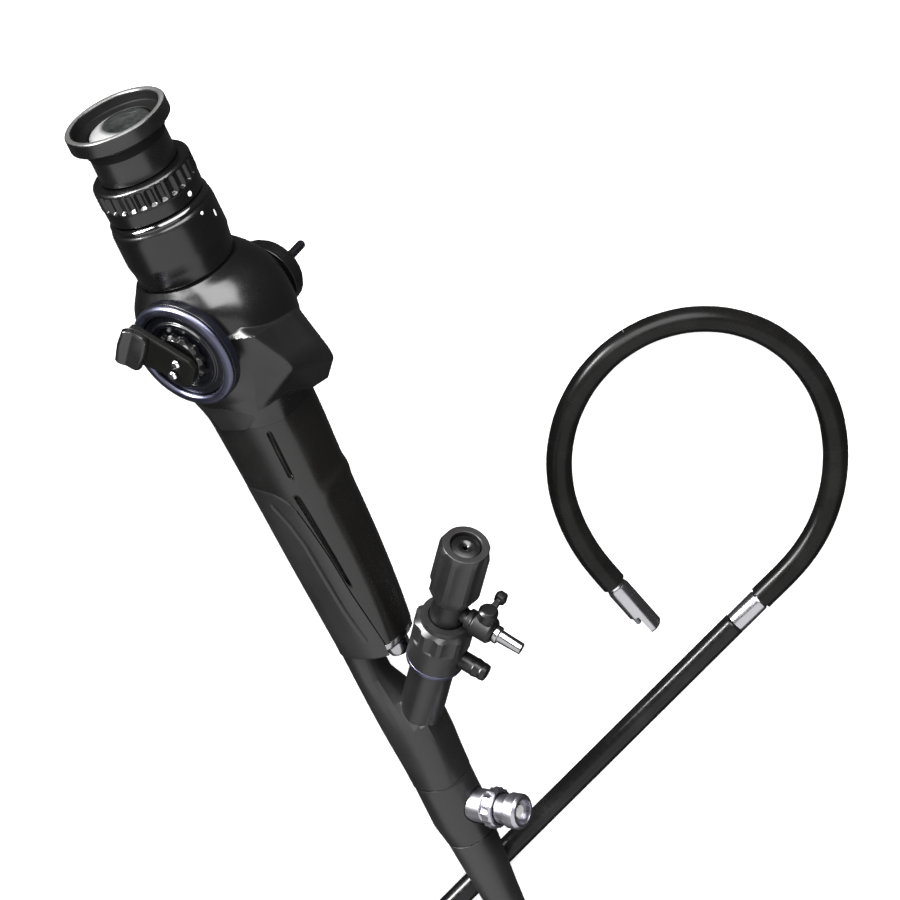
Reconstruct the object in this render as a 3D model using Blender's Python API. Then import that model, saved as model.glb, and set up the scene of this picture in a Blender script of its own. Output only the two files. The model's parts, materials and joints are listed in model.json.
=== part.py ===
"""Flexible fibre endoscope, built as separate named solids in metres, +Z up.

The control section (eyepiece, head, grip, port, connector, boot) is drawn in its own
frame: x = front (port side), y = long axis toward the eyepiece, z = lever side.
It is then laid on the table, rolled about its long axis. The insertion tube, the
bending section and the tip lie flat on the table, z = 0.
"""

import math

import bmesh
import bpy
import numpy as np
from mathutils import Matrix, Vector

MM = 0.001
GAP = 0.3 * MM

# How the control section lies on the table.
ROLL = math.radians(46.0)
INCLINE = math.radians(2.1)

# Eyepiece (radii and stations along the long axis).
EYECUP_RADIUS = 16.0 * MM
EYECUP_TOP = 72.4 * MM
NECK_RADIUS = 12.1 * MM
BARREL_RADIUS = 11.4 * MM
DIOPTRE_RADIUS = 15.3 * MM
DIOPTRE_RIBS = 20
DIOPTRE_BOTTOM = 46.6 * MM
DIOPTRE_TOP = 54.3 * MM
BASE_RADIUS = 16.2 * MM
BASE_BOTTOM = 20.3 * MM
OCULAR_RADIUS = 8.3 * MM

# Head: station, back, front, half width on the vent side, half width on the lever side.
HEAD_STATIONS = (
    (20.0, 15.6, 15.6, 15.6, 15.6),
    (17.5, 16.8, 18.8, 17.6, 16.8),
    (13.0, 19.2, 22.8, 20.2, 19.2),
    (7.0, 20.9, 25.4, 21.2, 20.2),
    (0.0, 21.4, 26.0, 21.4, 20.2),
    (-5.0, 20.4, 26.2, 20.4, 20.0),
    (-7.2, 19.8, 29.8, 19.6, 19.6),
    (-12.0, 18.2, 31.2, 18.6, 18.8),
    (-18.0, 16.2, 30.0, 17.2, 17.2),
    (-23.0, 14.2, 25.6, 15.4, 15.4),
    (-28.0, 13.4, 20.0, 13.8, 13.8),
    (-31.0, 13.2, 17.8, 13.2, 13.2),
)
HEAD_SQUARENESS = 2.45
HEAD_SEGMENTS = 30
HEAD_WALL = 4.5 * MM
HEAD_BORE = 12.0 * MM

# Angulation control on the lever side of the head.
LEVER_F = 4.4 * MM
LEVER_Y = 2.0 * MM
PLATE_RADIUS = 17.6 * MM
PLATE_SEAT = 17.5 * MM
HUB_RADIUS = 8.6 * MM
SHAFT_RADIUS = 4.0 * MM
LEVER_ANGLE = math.radians(50.0)
LEVER_LENGTH = 16.8 * MM

# Vent boss on the other side of the head.
BOSS_F = 6.5 * MM
BOSS_Y = 1.2 * MM
BOSS_RADIUS = 11.0 * MM
BOSS_SEAT = 19.5 * MM
PIN_F = 13.0 * MM
PIN_Y = 4.0 * MM

# Grip: station, back, front, half width.
GRIP_STATIONS = (
    (-31.3, 13.2, 17.8, 13.2),
    (-40.0, 12.9, 17.9, 12.8),
    (-52.0, 12.5, 17.3, 12.4),
    (-56.0, 12.4, 17.1, 12.3),
    (-59.5, 12.3, 18.2, 12.2),
    (-64.0, 12.1, 17.1, 12.1),
    (-75.0, 11.8, 16.9, 11.8),
    (-88.0, 11.4, 16.5, 11.4),
    (-104.0, 10.8, 15.3, 10.8),
    (-117.8, 10.3, 13.6, 10.3),
)
GRIP_SQUARENESS = 3.0
GRIP_BORE = 7.5 * MM

# Lower body: station, centre toward the front, back, front, half width on each side.
LOWER_STATIONS = (
    (-121.0, -5.7, 6.0, 4.8, 3.4, 7.6),
    (-134.0, -5.4, 6.1, 4.9, 3.6, 7.6),
    (-143.0, -3.6, 7.5, 6.8, 6.4, 8.1),
    (-152.0, -0.3, 10.3, 10.3, 9.0, 9.0),
    (-160.0, 0.0, 10.0, 10.0, 9.0, 9.0),
    (-168.0, 0.0, 9.4, 9.4, 8.8, 8.8),
    (-176.0, 0.0, 9.0, 9.0, 8.7, 8.7),
)
LOWER_SQUARENESS = 2.8
BUNDLE_OFFSET = -4.0 * MM
BUNDLE_BORE = 2.3 * MM
BUNDLE_TOP = 40.0 * MM
SLEEVE_RADIUS = 9.5 * MM
SLEEVE_BORE = 6.1 * MM
SLEEVE_LENGTH = 23.7 * MM
SLEEVE_TOP = LOWER_STATIONS[-1][0] * MM - GAP
SLEEVE_END = SLEEVE_TOP - SLEEVE_LENGTH
BOOT_LENGTH = 61.7 * MM
BOOT_TOP = SLEEVE_END - GAP
BOOT_END = BOOT_TOP - BOOT_LENGTH
BOOT_PROFILE = ((8.1, 0.0), (7.5, 0.154), (6.5, 0.365), (5.4, 0.697), (5.0, 1.0))

# Channel port: where its axis leaves the body axis, its angle, and the pieces along it.
PORT_Y = -155.8 * MM
PORT_ANGLE = math.radians(37.6)
BRANCH_RADIUS = 7.0 * MM
BRANCH_LENGTH = 34.0 * MM
CHANNEL_RADIUS = 2.6 * MM
PORT_RING_RADIUS = 9.2 * MM
PORT_RING_HEIGHT = 2.2 * MM
PLUG_RADIUS = 9.5 * MM
PLUG_HEIGHT = 19.4 * MM
NECK_SOCKET_DEPTH = 5.4 * MM
PORT_NECK_RADIUS = 5.4 * MM
PORT_NECK_SHOULDER = 15.2 * MM
PORT_NECK_HEIGHT = 24.0 * MM
SPIGOT_RADIUS = 4.4 * MM
PORT_CAP_RADIUS = 8.2 * MM
PORT_CAP_HEIGHT = 24.4 * MM
NIPPLE_RADIUS = 2.95 * MM
NIPPLE_RISE = 4.4 * MM
VALVE_STEM_RADIUS = 2.4 * MM
VALVE_RISE = 9.7 * MM
VALVE_RADIAL = 12.6 * MM
PORT_RING_LOW = BRANCH_LENGTH + GAP
PLUG_LOW = PORT_RING_LOW + PORT_RING_HEIGHT + GAP
PORT_NECK_LOW = PLUG_LOW + PLUG_HEIGHT - NECK_SOCKET_DEPTH + GAP
PORT_CAP_LOW = PORT_NECK_LOW + PORT_NECK_SHOULDER + GAP
PORT_CAP_TOP = PORT_CAP_LOW + PORT_CAP_HEIGHT
STUB_STATION = PLUG_LOW + NIPPLE_RISE
SIDE_VALVE_STATION = PORT_NECK_LOW + VALVE_RISE

# Light-guide connector.
GUIDE_Y = SLEEVE_TOP - 11.2 * MM
GUIDE_TILT = math.radians(6.0)
GUIDE_RADIUS = 5.5 * MM
GUIDE_END = 26.6 * MM

# Insertion tube, bending section and tip, on the table.
TUBE_RADIUS = 3.75 * MM
RING_RADIUS = 3.6 * MM
LINK_RADIUS = 3.25 * MM
LINK_WALL = 0.6 * MM
COVER_RADIUS = 4.05 * MM
COVER_WALL = 0.4 * MM
TIP_RADIUS = 3.7 * MM
TIP_LENGTH = 19.6 * MM
TIP_STEP = 7.6 * MM
TUBE_HEADING = math.radians(22.0)
RING_START = (104.9, -179.3)
RING_LENGTH = 11.2 * MM
FIRST_HINGE = 29.7 * MM
LINK_PITCH = 12.81 * MM
BEND_ANGLES = (
    15.1, 14.1, 13.1, 12.1, 13.2, 14.2, 15.3, 16.4, 16.7,
    17.1, 17.4, 17.7, 16.7, 15.7, 14.7, 13.7, 10.1, 9.7,
)
LOOP_RADIUS = 42.0 * MM

MATERIALS = {
    "black_plastic": ((0.018, 0.018, 0.020), 0.0, 0.38),
    "grey_plastic": ((0.055, 0.054, 0.056), 0.0, 0.50),
    "black_rubber": ((0.012, 0.012, 0.013), 0.0, 0.62),
    "chrome": ((0.80, 0.80, 0.80), 1.0, 0.16),
    "steel": ((0.62, 0.62, 0.63), 1.0, 0.30),
    "blue_anodised": ((0.10, 0.10, 0.22), 0.8, 0.30),
    "glass": ((0.70, 0.76, 0.80), 0.0, 0.05),
    "fibre": ((0.85, 0.80, 0.62), 0.0, 0.35),
    "tube_cover": ((0.022, 0.022, 0.024), 0.0, 0.45),
}


def clear_scene():
    """Remove every object that is already in the file."""
    for item in list(bpy.data.objects):
        bpy.data.objects.remove(item, do_unlink=True)


def add_material(item, kind):
    """Give the object its own Principled material."""
    colour, metallic, roughness = MATERIALS[kind]
    material = bpy.data.materials.new(item.name + "_" + kind)
    material.use_nodes = True
    shader = material.node_tree.nodes["Principled BSDF"]
    shader.inputs["Base Color"].default_value = (*colour, 1.0)
    shader.inputs["Metallic"].default_value = metallic
    shader.inputs["Roughness"].default_value = roughness
    item.data.materials.append(material)


def add_solid(name, shape, kind, pose, origin=(0.0, 0.0, 0.0)):
    """Make one closed mesh object; the mesh is drawn about the given origin."""
    verts, faces = shape
    centre = Vector(origin)
    mesh = bpy.data.meshes.new(name)
    mesh.from_pydata([Vector(v) - centre for v in verts], [], faces)
    tidy = bmesh.new()
    tidy.from_mesh(mesh)
    bmesh.ops.recalc_face_normals(tidy, faces=tidy.faces)
    tidy.to_mesh(mesh)
    tidy.free()
    item = bpy.data.objects.new(name, mesh)
    bpy.context.scene.collection.objects.link(item)
    item.matrix_world = pose @ Matrix.Translation(centre)
    if kind:
        add_material(item, kind)
    return item


def cut(item, name, shape, pose, operation="DIFFERENCE"):
    """Apply an exact Boolean with a hidden helper object."""
    helper = add_solid(name, shape, None, pose)
    helper.hide_render = True
    helper.display_type = "WIRE"
    change = item.modifiers.new(name, "BOOLEAN")
    change.operation = operation
    change.solver = "EXACT"
    change.object = helper


def axis_frame(origin, direction, side):
    """Frame of three unit vectors: side, cross and direction, at the origin."""
    along = Vector(direction).normalized()
    first = Vector(side)
    first = (first - along * first.dot(along)).normalized()
    second = along.cross(first)
    return Vector(origin), first, second, along


def turn(profile, frame, segments, flutes=None):
    """Revolve (radius, height) points; points at radius 0 become poles.

    flutes = (count, depth, indices) pulls the listed points in between ribs.
    """
    origin, first, second, along = frame
    verts = []
    rings = []
    for index, (radius, height) in enumerate(profile):
        if radius == 0.0:
            rings.append([len(verts)])
            verts.append(origin + along * height)
            continue
        ring = []
        for step in range(segments):
            angle = 2.0 * math.pi * step / segments
            reach = radius
            if flutes and index in flutes[2]:
                share = (step * flutes[0] / segments) % 1.0
                reach -= flutes[1] if share >= 0.5 else 0.0
            ring.append(len(verts))
            offset = first * math.cos(angle) + second * math.sin(angle)
            verts.append(origin + along * height + offset * reach)
        rings.append(ring)
    closed = len(rings[0]) > 1 and len(rings[-1]) > 1
    pairs = list(zip(rings, rings[1:]))
    if closed:
        pairs.append((rings[-1], rings[0]))
    faces = []
    for lower, upper in pairs:
        faces.extend(bridge(lower, upper, segments))
    return verts, faces


def bridge(lower, upper, count):
    """Faces between two rings; a ring of one point gives a fan."""
    faces = []
    for step in range(count):
        after = (step + 1) % count
        if len(lower) == 1 and len(upper) == 1:
            continue
        if len(lower) == 1:
            faces.append((lower[0], upper[step], upper[after]))
        elif len(upper) == 1:
            faces.append((lower[step], lower[after], upper[0]))
        else:
            faces.append((lower[step], lower[after], upper[after], upper[step]))
    return faces


def rings_solid(rings, hollow=False):
    """Solid from point rings; hollow joins the last ring to the first."""
    count = len(rings[0])
    verts = [point for ring in rings for point in ring]
    index = [[row * count + step for step in range(count)] for row in range(len(rings))]
    faces = []
    for lower, upper in zip(index, index[1:]):
        faces.extend(bridge(lower, upper, count))
    if hollow:
        faces.extend(bridge(index[-1], index[0], count))
    else:
        faces.append(tuple(index[0]))
        faces.append(tuple(reversed(index[-1])))
    return verts, faces


def oval_reach(angle, back, front, low, high, power):
    """Distance from the centre to a squared oval, in the given direction."""
    across = math.cos(angle)
    up = math.sin(angle)
    wide = front if across >= 0.0 else back
    tall = high if up >= 0.0 else low
    total = (abs(across) / wide) ** power + (abs(up) / tall) ** power
    return total ** (-1.0 / power)


def even_angles(count):
    """Evenly spaced angles of a section."""
    return [2.0 * math.pi * step / count for step in range(count)]


def section_ring(y, reach, angles, centre=0.0):
    """Ring of points at station y with a reach for each angle."""
    ring = []
    for angle in angles:
        size = reach(angle)
        ring.append(Vector((centre + size * math.cos(angle), y, size * math.sin(angle))))
    return ring


def lay_pose(height):
    """Matrix that lays the control section on the table."""
    lift = Matrix.Translation((0.0, 0.0, height))
    return lift @ Matrix.Rotation(INCLINE, 4, "X") @ Matrix.Rotation(-ROLL, 4, "Y")


def head_reach(row):
    """Reach function of one head station."""
    _, back, front, low, high = row
    power = HEAD_SQUARENESS if row[0] < 19.0 else 2.0
    return lambda angle: oval_reach(angle, back, front, low, high, power) * MM


def head_height():
    """Height of the long axis above the table when the head rests on it."""
    level = lay_pose(0.0)
    lowest = 0.0
    for row in HEAD_STATIONS:
        for point in section_ring(row[0] * MM, head_reach(row), even_angles(HEAD_SEGMENTS)):
            lowest = min(lowest, (level @ point).z)
    return -lowest


LONG = axis_frame((0.0, 0.0, 0.0), (0.0, 1.0, 0.0), (1.0, 0.0, 0.0))
BUNDLE = axis_frame((BUNDLE_OFFSET, 0.0, 0.0), (0.0, 1.0, 0.0), (1.0, 0.0, 0.0))


def scaled(points):
    """Profile points given in millimetres, in metres."""
    return [(radius * MM, height * MM) for radius, height in points]


def build_eyecup(pose):
    """Eyecup flange with its viewing recess, neck and inner barrel."""
    top = EYECUP_TOP
    profile = [
        (EYECUP_RADIUS - 3.2 * MM, top),
        (EYECUP_RADIUS, top),
        (EYECUP_RADIUS, top - 4.8 * MM),
        (EYECUP_RADIUS - 2.4 * MM, top - 6.4 * MM),
        (NECK_RADIUS, top - 9.2 * MM),
        (NECK_RADIUS, DIOPTRE_TOP + GAP),
        (BARREL_RADIUS, DIOPTRE_TOP + GAP),
        (BARREL_RADIUS, DIOPTRE_BOTTOM - 5.6 * MM),
        (BARREL_RADIUS - 2.4 * MM, DIOPTRE_BOTTOM - 5.6 * MM),
        (BARREL_RADIUS - 2.4 * MM, top - 10.0 * MM),
        (OCULAR_RADIUS - 1.1 * MM, top - 10.0 * MM),
        (OCULAR_RADIUS - 1.1 * MM, top - 8.3 * MM),
        (OCULAR_RADIUS + GAP, top - 8.3 * MM),
        (OCULAR_RADIUS + GAP, top - 3.6 * MM),
    ]
    add_solid("eyecup", turn(profile, LONG, 28), "black_rubber", pose)


def build_ocular_lens(pose):
    """Domed ocular lens on its shoulder inside the eyecup."""
    low = EYECUP_TOP - 8.0 * MM
    profile = [
        (0.0, low),
        (OCULAR_RADIUS, low),
        (OCULAR_RADIUS, low + 1.4 * MM),
        (OCULAR_RADIUS * 0.6, low + 2.2 * MM),
        (0.0, low + 2.5 * MM),
    ]
    add_solid("ocular_lens", turn(profile, LONG, 20), "glass", pose)


def build_dioptre_ring(pose):
    """Ribbed focus ring that turns on the eyepiece barrel."""
    low = DIOPTRE_BOTTOM
    high = DIOPTRE_TOP
    bore = BARREL_RADIUS + 0.4 * MM
    profile = [
        (bore, low),
        (DIOPTRE_RADIUS - 1.3 * MM, low),
        (DIOPTRE_RADIUS, low + 0.9 * MM),
        (DIOPTRE_RADIUS, high - 0.9 * MM),
        (DIOPTRE_RADIUS - 1.3 * MM, high),
        (bore, high),
    ]
    flutes = (DIOPTRE_RIBS, 1.1 * MM, (2, 3))
    shape = turn(profile, LONG, DIOPTRE_RIBS * 4, flutes)
    middle = (0.0, 0.5 * (low + high), 0.0)
    add_solid("dioptre_ring", shape, "black_plastic", pose, middle)


def build_eyepiece_base(pose):
    """Body under the dioptre ring, with a spigot that enters the head."""
    low = BASE_BOTTOM
    profile = [
        (BARREL_RADIUS + 0.4 * MM, DIOPTRE_BOTTOM - GAP),
        (BASE_RADIUS - 2.0 * MM, DIOPTRE_BOTTOM - GAP),
        (BASE_RADIUS - 2.0 * MM, low + 21.2 * MM),
        (BASE_RADIUS, low + 19.2 * MM),
        (BASE_RADIUS, low + 7.4 * MM),
        (BASE_RADIUS - 0.9 * MM, low + 3.8 * MM),
        (BASE_RADIUS - 0.9 * MM, low),
        (HEAD_BORE - 0.4 * MM, low),
        (HEAD_BORE - 0.4 * MM, low - 4.8 * MM),
        (HEAD_BORE - 2.5 * MM, low - 4.8 * MM),
        (HEAD_BORE - 2.5 * MM, low + 20.0 * MM),
        (BARREL_RADIUS + 0.4 * MM, low + 20.0 * MM),
    ]
    add_solid("eyepiece_base", turn(profile, LONG, 28), "black_plastic", pose)


def build_head(pose):
    """Hollow head housing with the finger rest and two round seats."""
    angles = even_angles(HEAD_SEGMENTS)
    outer = []
    for row in HEAD_STATIONS:
        outer.append(section_ring(row[0] * MM, head_reach(row), angles))
    inner = []
    for row in reversed(HEAD_STATIONS[1:10:2]):
        reach = head_reach(row)
        inner.append(section_ring(row[0] * MM, lambda a, r=reach: r(a) - HEAD_WALL, angles))
    top = section_ring(HEAD_STATIONS[0][0] * MM, lambda a: HEAD_BORE, angles)
    neck = section_ring(14.8 * MM, lambda a: HEAD_BORE, angles)
    floor = section_ring(HEAD_STATIONS[-1][0] * MM, lambda a: GRIP_BORE, angles)
    rest = section_ring(-26.0 * MM, lambda a: GRIP_BORE, angles)
    inner[-1] = section_ring(13.0 * MM, lambda a: HEAD_BORE + 2.0 * MM, angles)
    rings = outer + [floor, rest] + inner + [neck, top]
    head = add_solid("head_housing", rings_solid(rings, hollow=True), "black_plastic", pose)
    lever = axis_frame((LEVER_F, LEVER_Y, 0.0), (0.0, 0.0, 1.0), (1.0, 0.0, 0.0))
    seat = [
        (0.0, 8.0 * MM),
        (SHAFT_RADIUS + 0.4 * MM, 8.0 * MM),
        (SHAFT_RADIUS + 0.4 * MM, PLATE_SEAT),
        (PLATE_RADIUS + 0.4 * MM, PLATE_SEAT),
        (PLATE_RADIUS + 0.4 * MM, PLATE_SEAT + 15.0 * MM),
        (0.0, PLATE_SEAT + 15.0 * MM),
    ]
    cut(head, "cut_lever_seat", turn(seat, lever, 32), pose)
    vent = axis_frame((BOSS_F, BOSS_Y, 0.0), (0.0, 0.0, -1.0), (1.0, 0.0, 0.0))
    socket = [
        (0.0, BOSS_SEAT),
        (BOSS_RADIUS + 0.4 * MM, BOSS_SEAT),
        (BOSS_RADIUS + 0.4 * MM, BOSS_SEAT + 12.0 * MM),
        (0.0, BOSS_SEAT + 12.0 * MM),
    ]
    cut(head, "cut_boss_seat", turn(socket, vent, 24), pose)


def lever_frame():
    """Frame of the angulation axis; its first vector points at the thumb pad."""
    toward = (-math.sin(LEVER_ANGLE), math.cos(LEVER_ANGLE), 0.0)
    return axis_frame((LEVER_F, LEVER_Y, 0.0), (0.0, 0.0, 1.0), toward)


def build_control_plate(pose):
    """Round plate under the lever, and the trim ring around its face."""
    frame = lever_frame()
    low = PLATE_SEAT + GAP
    plate = [
        (SHAFT_RADIUS + 0.4 * MM, low),
        (PLATE_RADIUS, low),
        (PLATE_RADIUS, low + 2.6 * MM),
        (PLATE_RADIUS - 2.6 * MM, low + 2.6 * MM),
        (PLATE_RADIUS - 2.6 * MM, low + 3.6 * MM),
        (SHAFT_RADIUS + 0.4 * MM, low + 3.6 * MM),
    ]
    add_solid("control_plate", turn(plate, frame, 32), "black_plastic", pose)
    trim = [
        (PLATE_RADIUS - 2.3 * MM, low + 2.9 * MM),
        (PLATE_RADIUS, low + 2.9 * MM),
        (PLATE_RADIUS, low + 3.9 * MM),
        (PLATE_RADIUS - 0.9 * MM, low + 4.7 * MM),
        (PLATE_RADIUS - 2.3 * MM, low + 4.3 * MM),
    ]
    add_solid("plate_trim", turn(trim, frame, 32), "blue_anodised", pose)


def build_lever_shaft(pose):
    """Shaft and wire pulley inside the head, turned by the lever."""
    frame = lever_frame()
    top = PLATE_SEAT + 4.2 * MM
    profile = [
        (0.0, 4.6 * MM),
        (9.0 * MM, 4.6 * MM),
        (9.0 * MM, 5.6 * MM),
        (7.8 * MM, 6.4 * MM),
        (9.0 * MM, 7.2 * MM),
        (9.0 * MM, 8.2 * MM),
        (SHAFT_RADIUS, 8.2 * MM),
        (SHAFT_RADIUS, top),
        (0.0, top),
    ]
    pivot = (LEVER_F, LEVER_Y, top)
    add_solid("lever_shaft", turn(profile, frame, 24), "steel", pose, pivot)


def build_lever_hub(pose):
    """Serrated hub of the lever."""
    frame = lever_frame()
    low = PLATE_SEAT + 4.5 * MM
    profile = [
        (0.0, low),
        (HUB_RADIUS, low),
        (HUB_RADIUS, low + 1.6 * MM),
        (HUB_RADIUS - 1.2 * MM, low + 2.4 * MM),
        (0.0, low + 2.4 * MM),
    ]
    flutes = (12, 0.8 * MM, (1, 2))
    pivot = (LEVER_F, LEVER_Y, low)
    add_solid("lever_hub", turn(profile, frame, 48, flutes), "black_plastic", pose, pivot)


def bar_ring(frame, along, low, high, half, round_share=0.35):
    """Eight-point rounded bar section across the lever."""
    origin, toward, across, up = frame
    soft = round_share * min(half, 0.5 * (high - low))
    corners = (
        (-half + soft, low), (half - soft, low),
        (half, low + soft), (half, high - soft),
        (half - soft, high), (-half + soft, high),
        (-half, high - soft), (-half, low + soft),
    )
    return [origin + toward * along + across * a + up * b for a, b in corners]


def build_lever_arm(pose):
    """Lever arm that rises from the hub to the thumb pad."""
    frame = lever_frame()
    base = PLATE_SEAT + 7.2 * MM
    rows = (
        (-7.0, 0.0, 2.0, 3.6),
        (-4.5, 0.0, 2.4, 5.4),
        (4.0, 0.0, 2.6, 5.6),
        (9.0, 0.7, 3.3, 6.2),
        (13.0, 1.2, 3.8, 7.0),
        (LEVER_LENGTH / MM - 0.8, 1.4, 4.0, 6.4),
    )
    rings = []
    for along, low, high, half in rows:
        rings.append(bar_ring(frame, along * MM, base + low * MM, base + high * MM, half * MM))
    pivot = (LEVER_F, LEVER_Y, base)
    add_solid("lever_arm", rings_solid(rings), "black_plastic", pose, pivot)


def build_thumb_pad(pose):
    """Ribbed rubber pad on the end of the lever arm."""
    frame = lever_frame()
    base = PLATE_SEAT + 7.2 * MM
    low = base + 4.3 * MM
    rings = []
    start = LEVER_LENGTH / MM - 8.5
    for step in range(7):
        rise = 1.5 if step % 2 else 2.3
        half = 7.4 if 0 < step < 6 else 6.4
        along = (start + 1.45 * step) * MM
        rings.append(bar_ring(frame, along, low, low + rise * MM, half * MM))
    pivot = (LEVER_F, LEVER_Y, base)
    add_solid("thumb_pad", rings_solid(rings), "black_rubber", pose, pivot)


def build_lever_screws(pose):
    """Two small screws that hold the arm on the hub."""
    origin, toward, across, up = lever_frame()
    low = PLATE_SEAT + 10.1 * MM
    for number, side in enumerate((-1.0, 1.0), start=1):
        spot = origin + across * (2.6 * MM * side) - toward * (1.0 * MM)
        frame = axis_frame(spot, up, toward)
        profile = [
            (0.0, low), (1.5 * MM, low), (1.5 * MM, low + 0.5 * MM),
            (1.0 * MM, low + 1.0 * MM), (0.0, low + 1.0 * MM),
        ]
        name = "lever_screw_" + str(number)
        add_solid(name, turn(profile, frame, 12), "chrome", pose, (LEVER_F, LEVER_Y, low))


def build_vent_boss(pose):
    """Round boss on the far side of the head, with its metal vent pin."""
    frame = axis_frame((BOSS_F, BOSS_Y, 0.0), (0.0, 0.0, -1.0), (1.0, 0.0, 0.0))
    low = BOSS_SEAT + GAP
    profile = [
        (0.0, low),
        (BOSS_RADIUS, low),
        (BOSS_RADIUS, low + 3.8 * MM),
        (BOSS_RADIUS - 1.4 * MM, low + 5.6 * MM),
        (0.0, low + 5.6 * MM),
    ]
    boss = add_solid("vent_boss", turn(profile, frame, 24), "black_plastic", pose)
    pin = axis_frame((PIN_F, PIN_Y, 0.0), (0.0, 0.0, -1.0), (1.0, 0.0, 0.0))
    hole = [
        (0.0, low + 3.0 * MM), (1.7 * MM, low + 3.0 * MM),
        (1.7 * MM, low + 9.0 * MM), (0.0, low + 9.0 * MM),
    ]
    cut(boss, "cut_pin_hole", turn(hole, pin, 12), pose)
    body = [
        (0.0, low + 3.3 * MM),
        (1.4 * MM, low + 3.3 * MM),
        (1.4 * MM, low + 13.0 * MM),
        (1.0 * MM, low + 13.6 * MM),
        (0.0, low + 13.6 * MM),
    ]
    add_solid("vent_pin", turn(body, pin, 12), "steel", pose)


def grip_row(y):
    """Back, front and half width of the grip at a station, interpolated."""
    stations = [row[0] for row in reversed(GRIP_STATIONS)]
    values = []
    for column in (1, 2, 3):
        sizes = [row[column] for row in reversed(GRIP_STATIONS)]
        values.append(float(np.interp(y, stations, sizes)))
    return values


def grip_reach(y, inset=0.0):
    """Reach function of the grip at a station, less an inset."""
    back, front, half = grip_row(y)
    power = GRIP_SQUARENESS
    return lambda a: oval_reach(a, back, front, half, half, power) * MM - inset


PANEL_FROM = math.radians(42.0)
PANEL_TO = math.radians(162.0)
PANEL_TOP = -51.0
PANEL_END = GRIP_STATIONS[-1][0] + 0.8
PANEL_DEPTH = 1.2 * MM


def grip_angles():
    """Section angles with close pairs at the edges of the panel pocket."""
    step = math.radians(1.2)
    pocket = [PANEL_FROM - step, PANEL_FROM]
    pocket += list(np.linspace(PANEL_FROM, PANEL_TO, 10)[1:-1])
    pocket += [PANEL_TO, PANEL_TO + step]
    first = pocket[-1]
    rest = np.linspace(first, PANEL_FROM - step + 2.0 * math.pi, 20)[1:-1]
    return pocket + list(rest)


def build_grip(pose):
    """Hollow grip with a pocket for the side panel and a finger groove."""
    angles = grip_angles()
    inside = {index for index in range(1, 11)}

    def ring_at(y, pocket):
        reach = grip_reach(y)
        ring = []
        for index, angle in enumerate(angles):
            size = reach(angle)
            if pocket and index in inside:
                size -= PANEL_DEPTH
            ring.append(Vector((size * math.cos(angle), y * MM, size * math.sin(angle))))
        return ring

    stations = [row[0] for row in GRIP_STATIONS]
    rings = [ring_at(y, False) for y in stations if y > PANEL_TOP + 0.3]
    rings.append(ring_at(PANEL_TOP + 0.3, False))
    rings.append(ring_at(PANEL_TOP, True))
    rings += [ring_at(y, True) for y in stations if PANEL_END < y < PANEL_TOP]
    rings.append(ring_at(PANEL_END, True))
    rings.append(ring_at(PANEL_END - 0.3, False))
    rings.append(ring_at(stations[-1], False))
    rings.append(section_ring(stations[-1] * MM, lambda a: GRIP_BORE, angles))
    rings.append(section_ring(stations[0] * MM, lambda a: GRIP_BORE, angles))
    grip = add_solid("grip_shell", rings_solid(rings, hollow=True), "black_plastic", pose)
    angle = math.radians(36.0)
    size = grip_reach(-40.0)(angle)
    out = Vector((math.cos(angle), 0.0, math.sin(angle)))
    across = Vector((-math.sin(angle), 0.0, math.cos(angle)))
    middle = Vector((0.0, -40.0 * MM, 0.0)) + out * (size + 1.0 * MM)
    slot = []
    for along in (-7.0, -6.2, 6.2, 7.0):
        half = 1.3 * MM if abs(along) < 6.5 else 0.7 * MM
        spot = middle + Vector((0.0, along * MM, 0.0))
        drop = 2.2 * MM
        slot.append([
            spot - across * half + out * drop, spot + across * half + out * drop,
            spot + across * half - out * drop, spot - across * half - out * drop,
        ])
    cut(grip, "cut_grip_slot", rings_solid(slot), pose)


def build_grip_panel(pose):
    """Side panel that fills the pocket of the grip."""
    margin = math.radians(2.2)
    span = np.linspace(PANEL_FROM + margin, PANEL_TO - margin, 10)
    stations = [PANEL_TOP - 0.4, PANEL_TOP - 2.2]
    stations += [row[0] for row in GRIP_STATIONS if PANEL_END + 2.0 < row[0] < PANEL_TOP - 3.0]
    stations += [PANEL_END + 1.6, PANEL_END + 0.4]
    rings = []
    for place, y in enumerate(stations):
        soft = 0.45 * MM if place in (0, len(stations) - 1) else 0.0
        reach = grip_reach(y)
        outer = []
        inner = []
        for number, angle in enumerate(span):
            way = Vector((math.cos(angle), 0.0, math.sin(angle)))
            edge = 0.35 * MM if number in (0, len(span) - 1) else 0.0
            base = Vector((0.0, y * MM, 0.0))
            outer.append(base + way * (reach(angle) - soft - edge))
            inner.append(base + way * (reach(angle) - PANEL_DEPTH + GAP))
        rings.append(outer + inner[::-1])
    add_solid("grip_panel", rings_solid(rings), "grey_plastic", pose)


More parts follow.
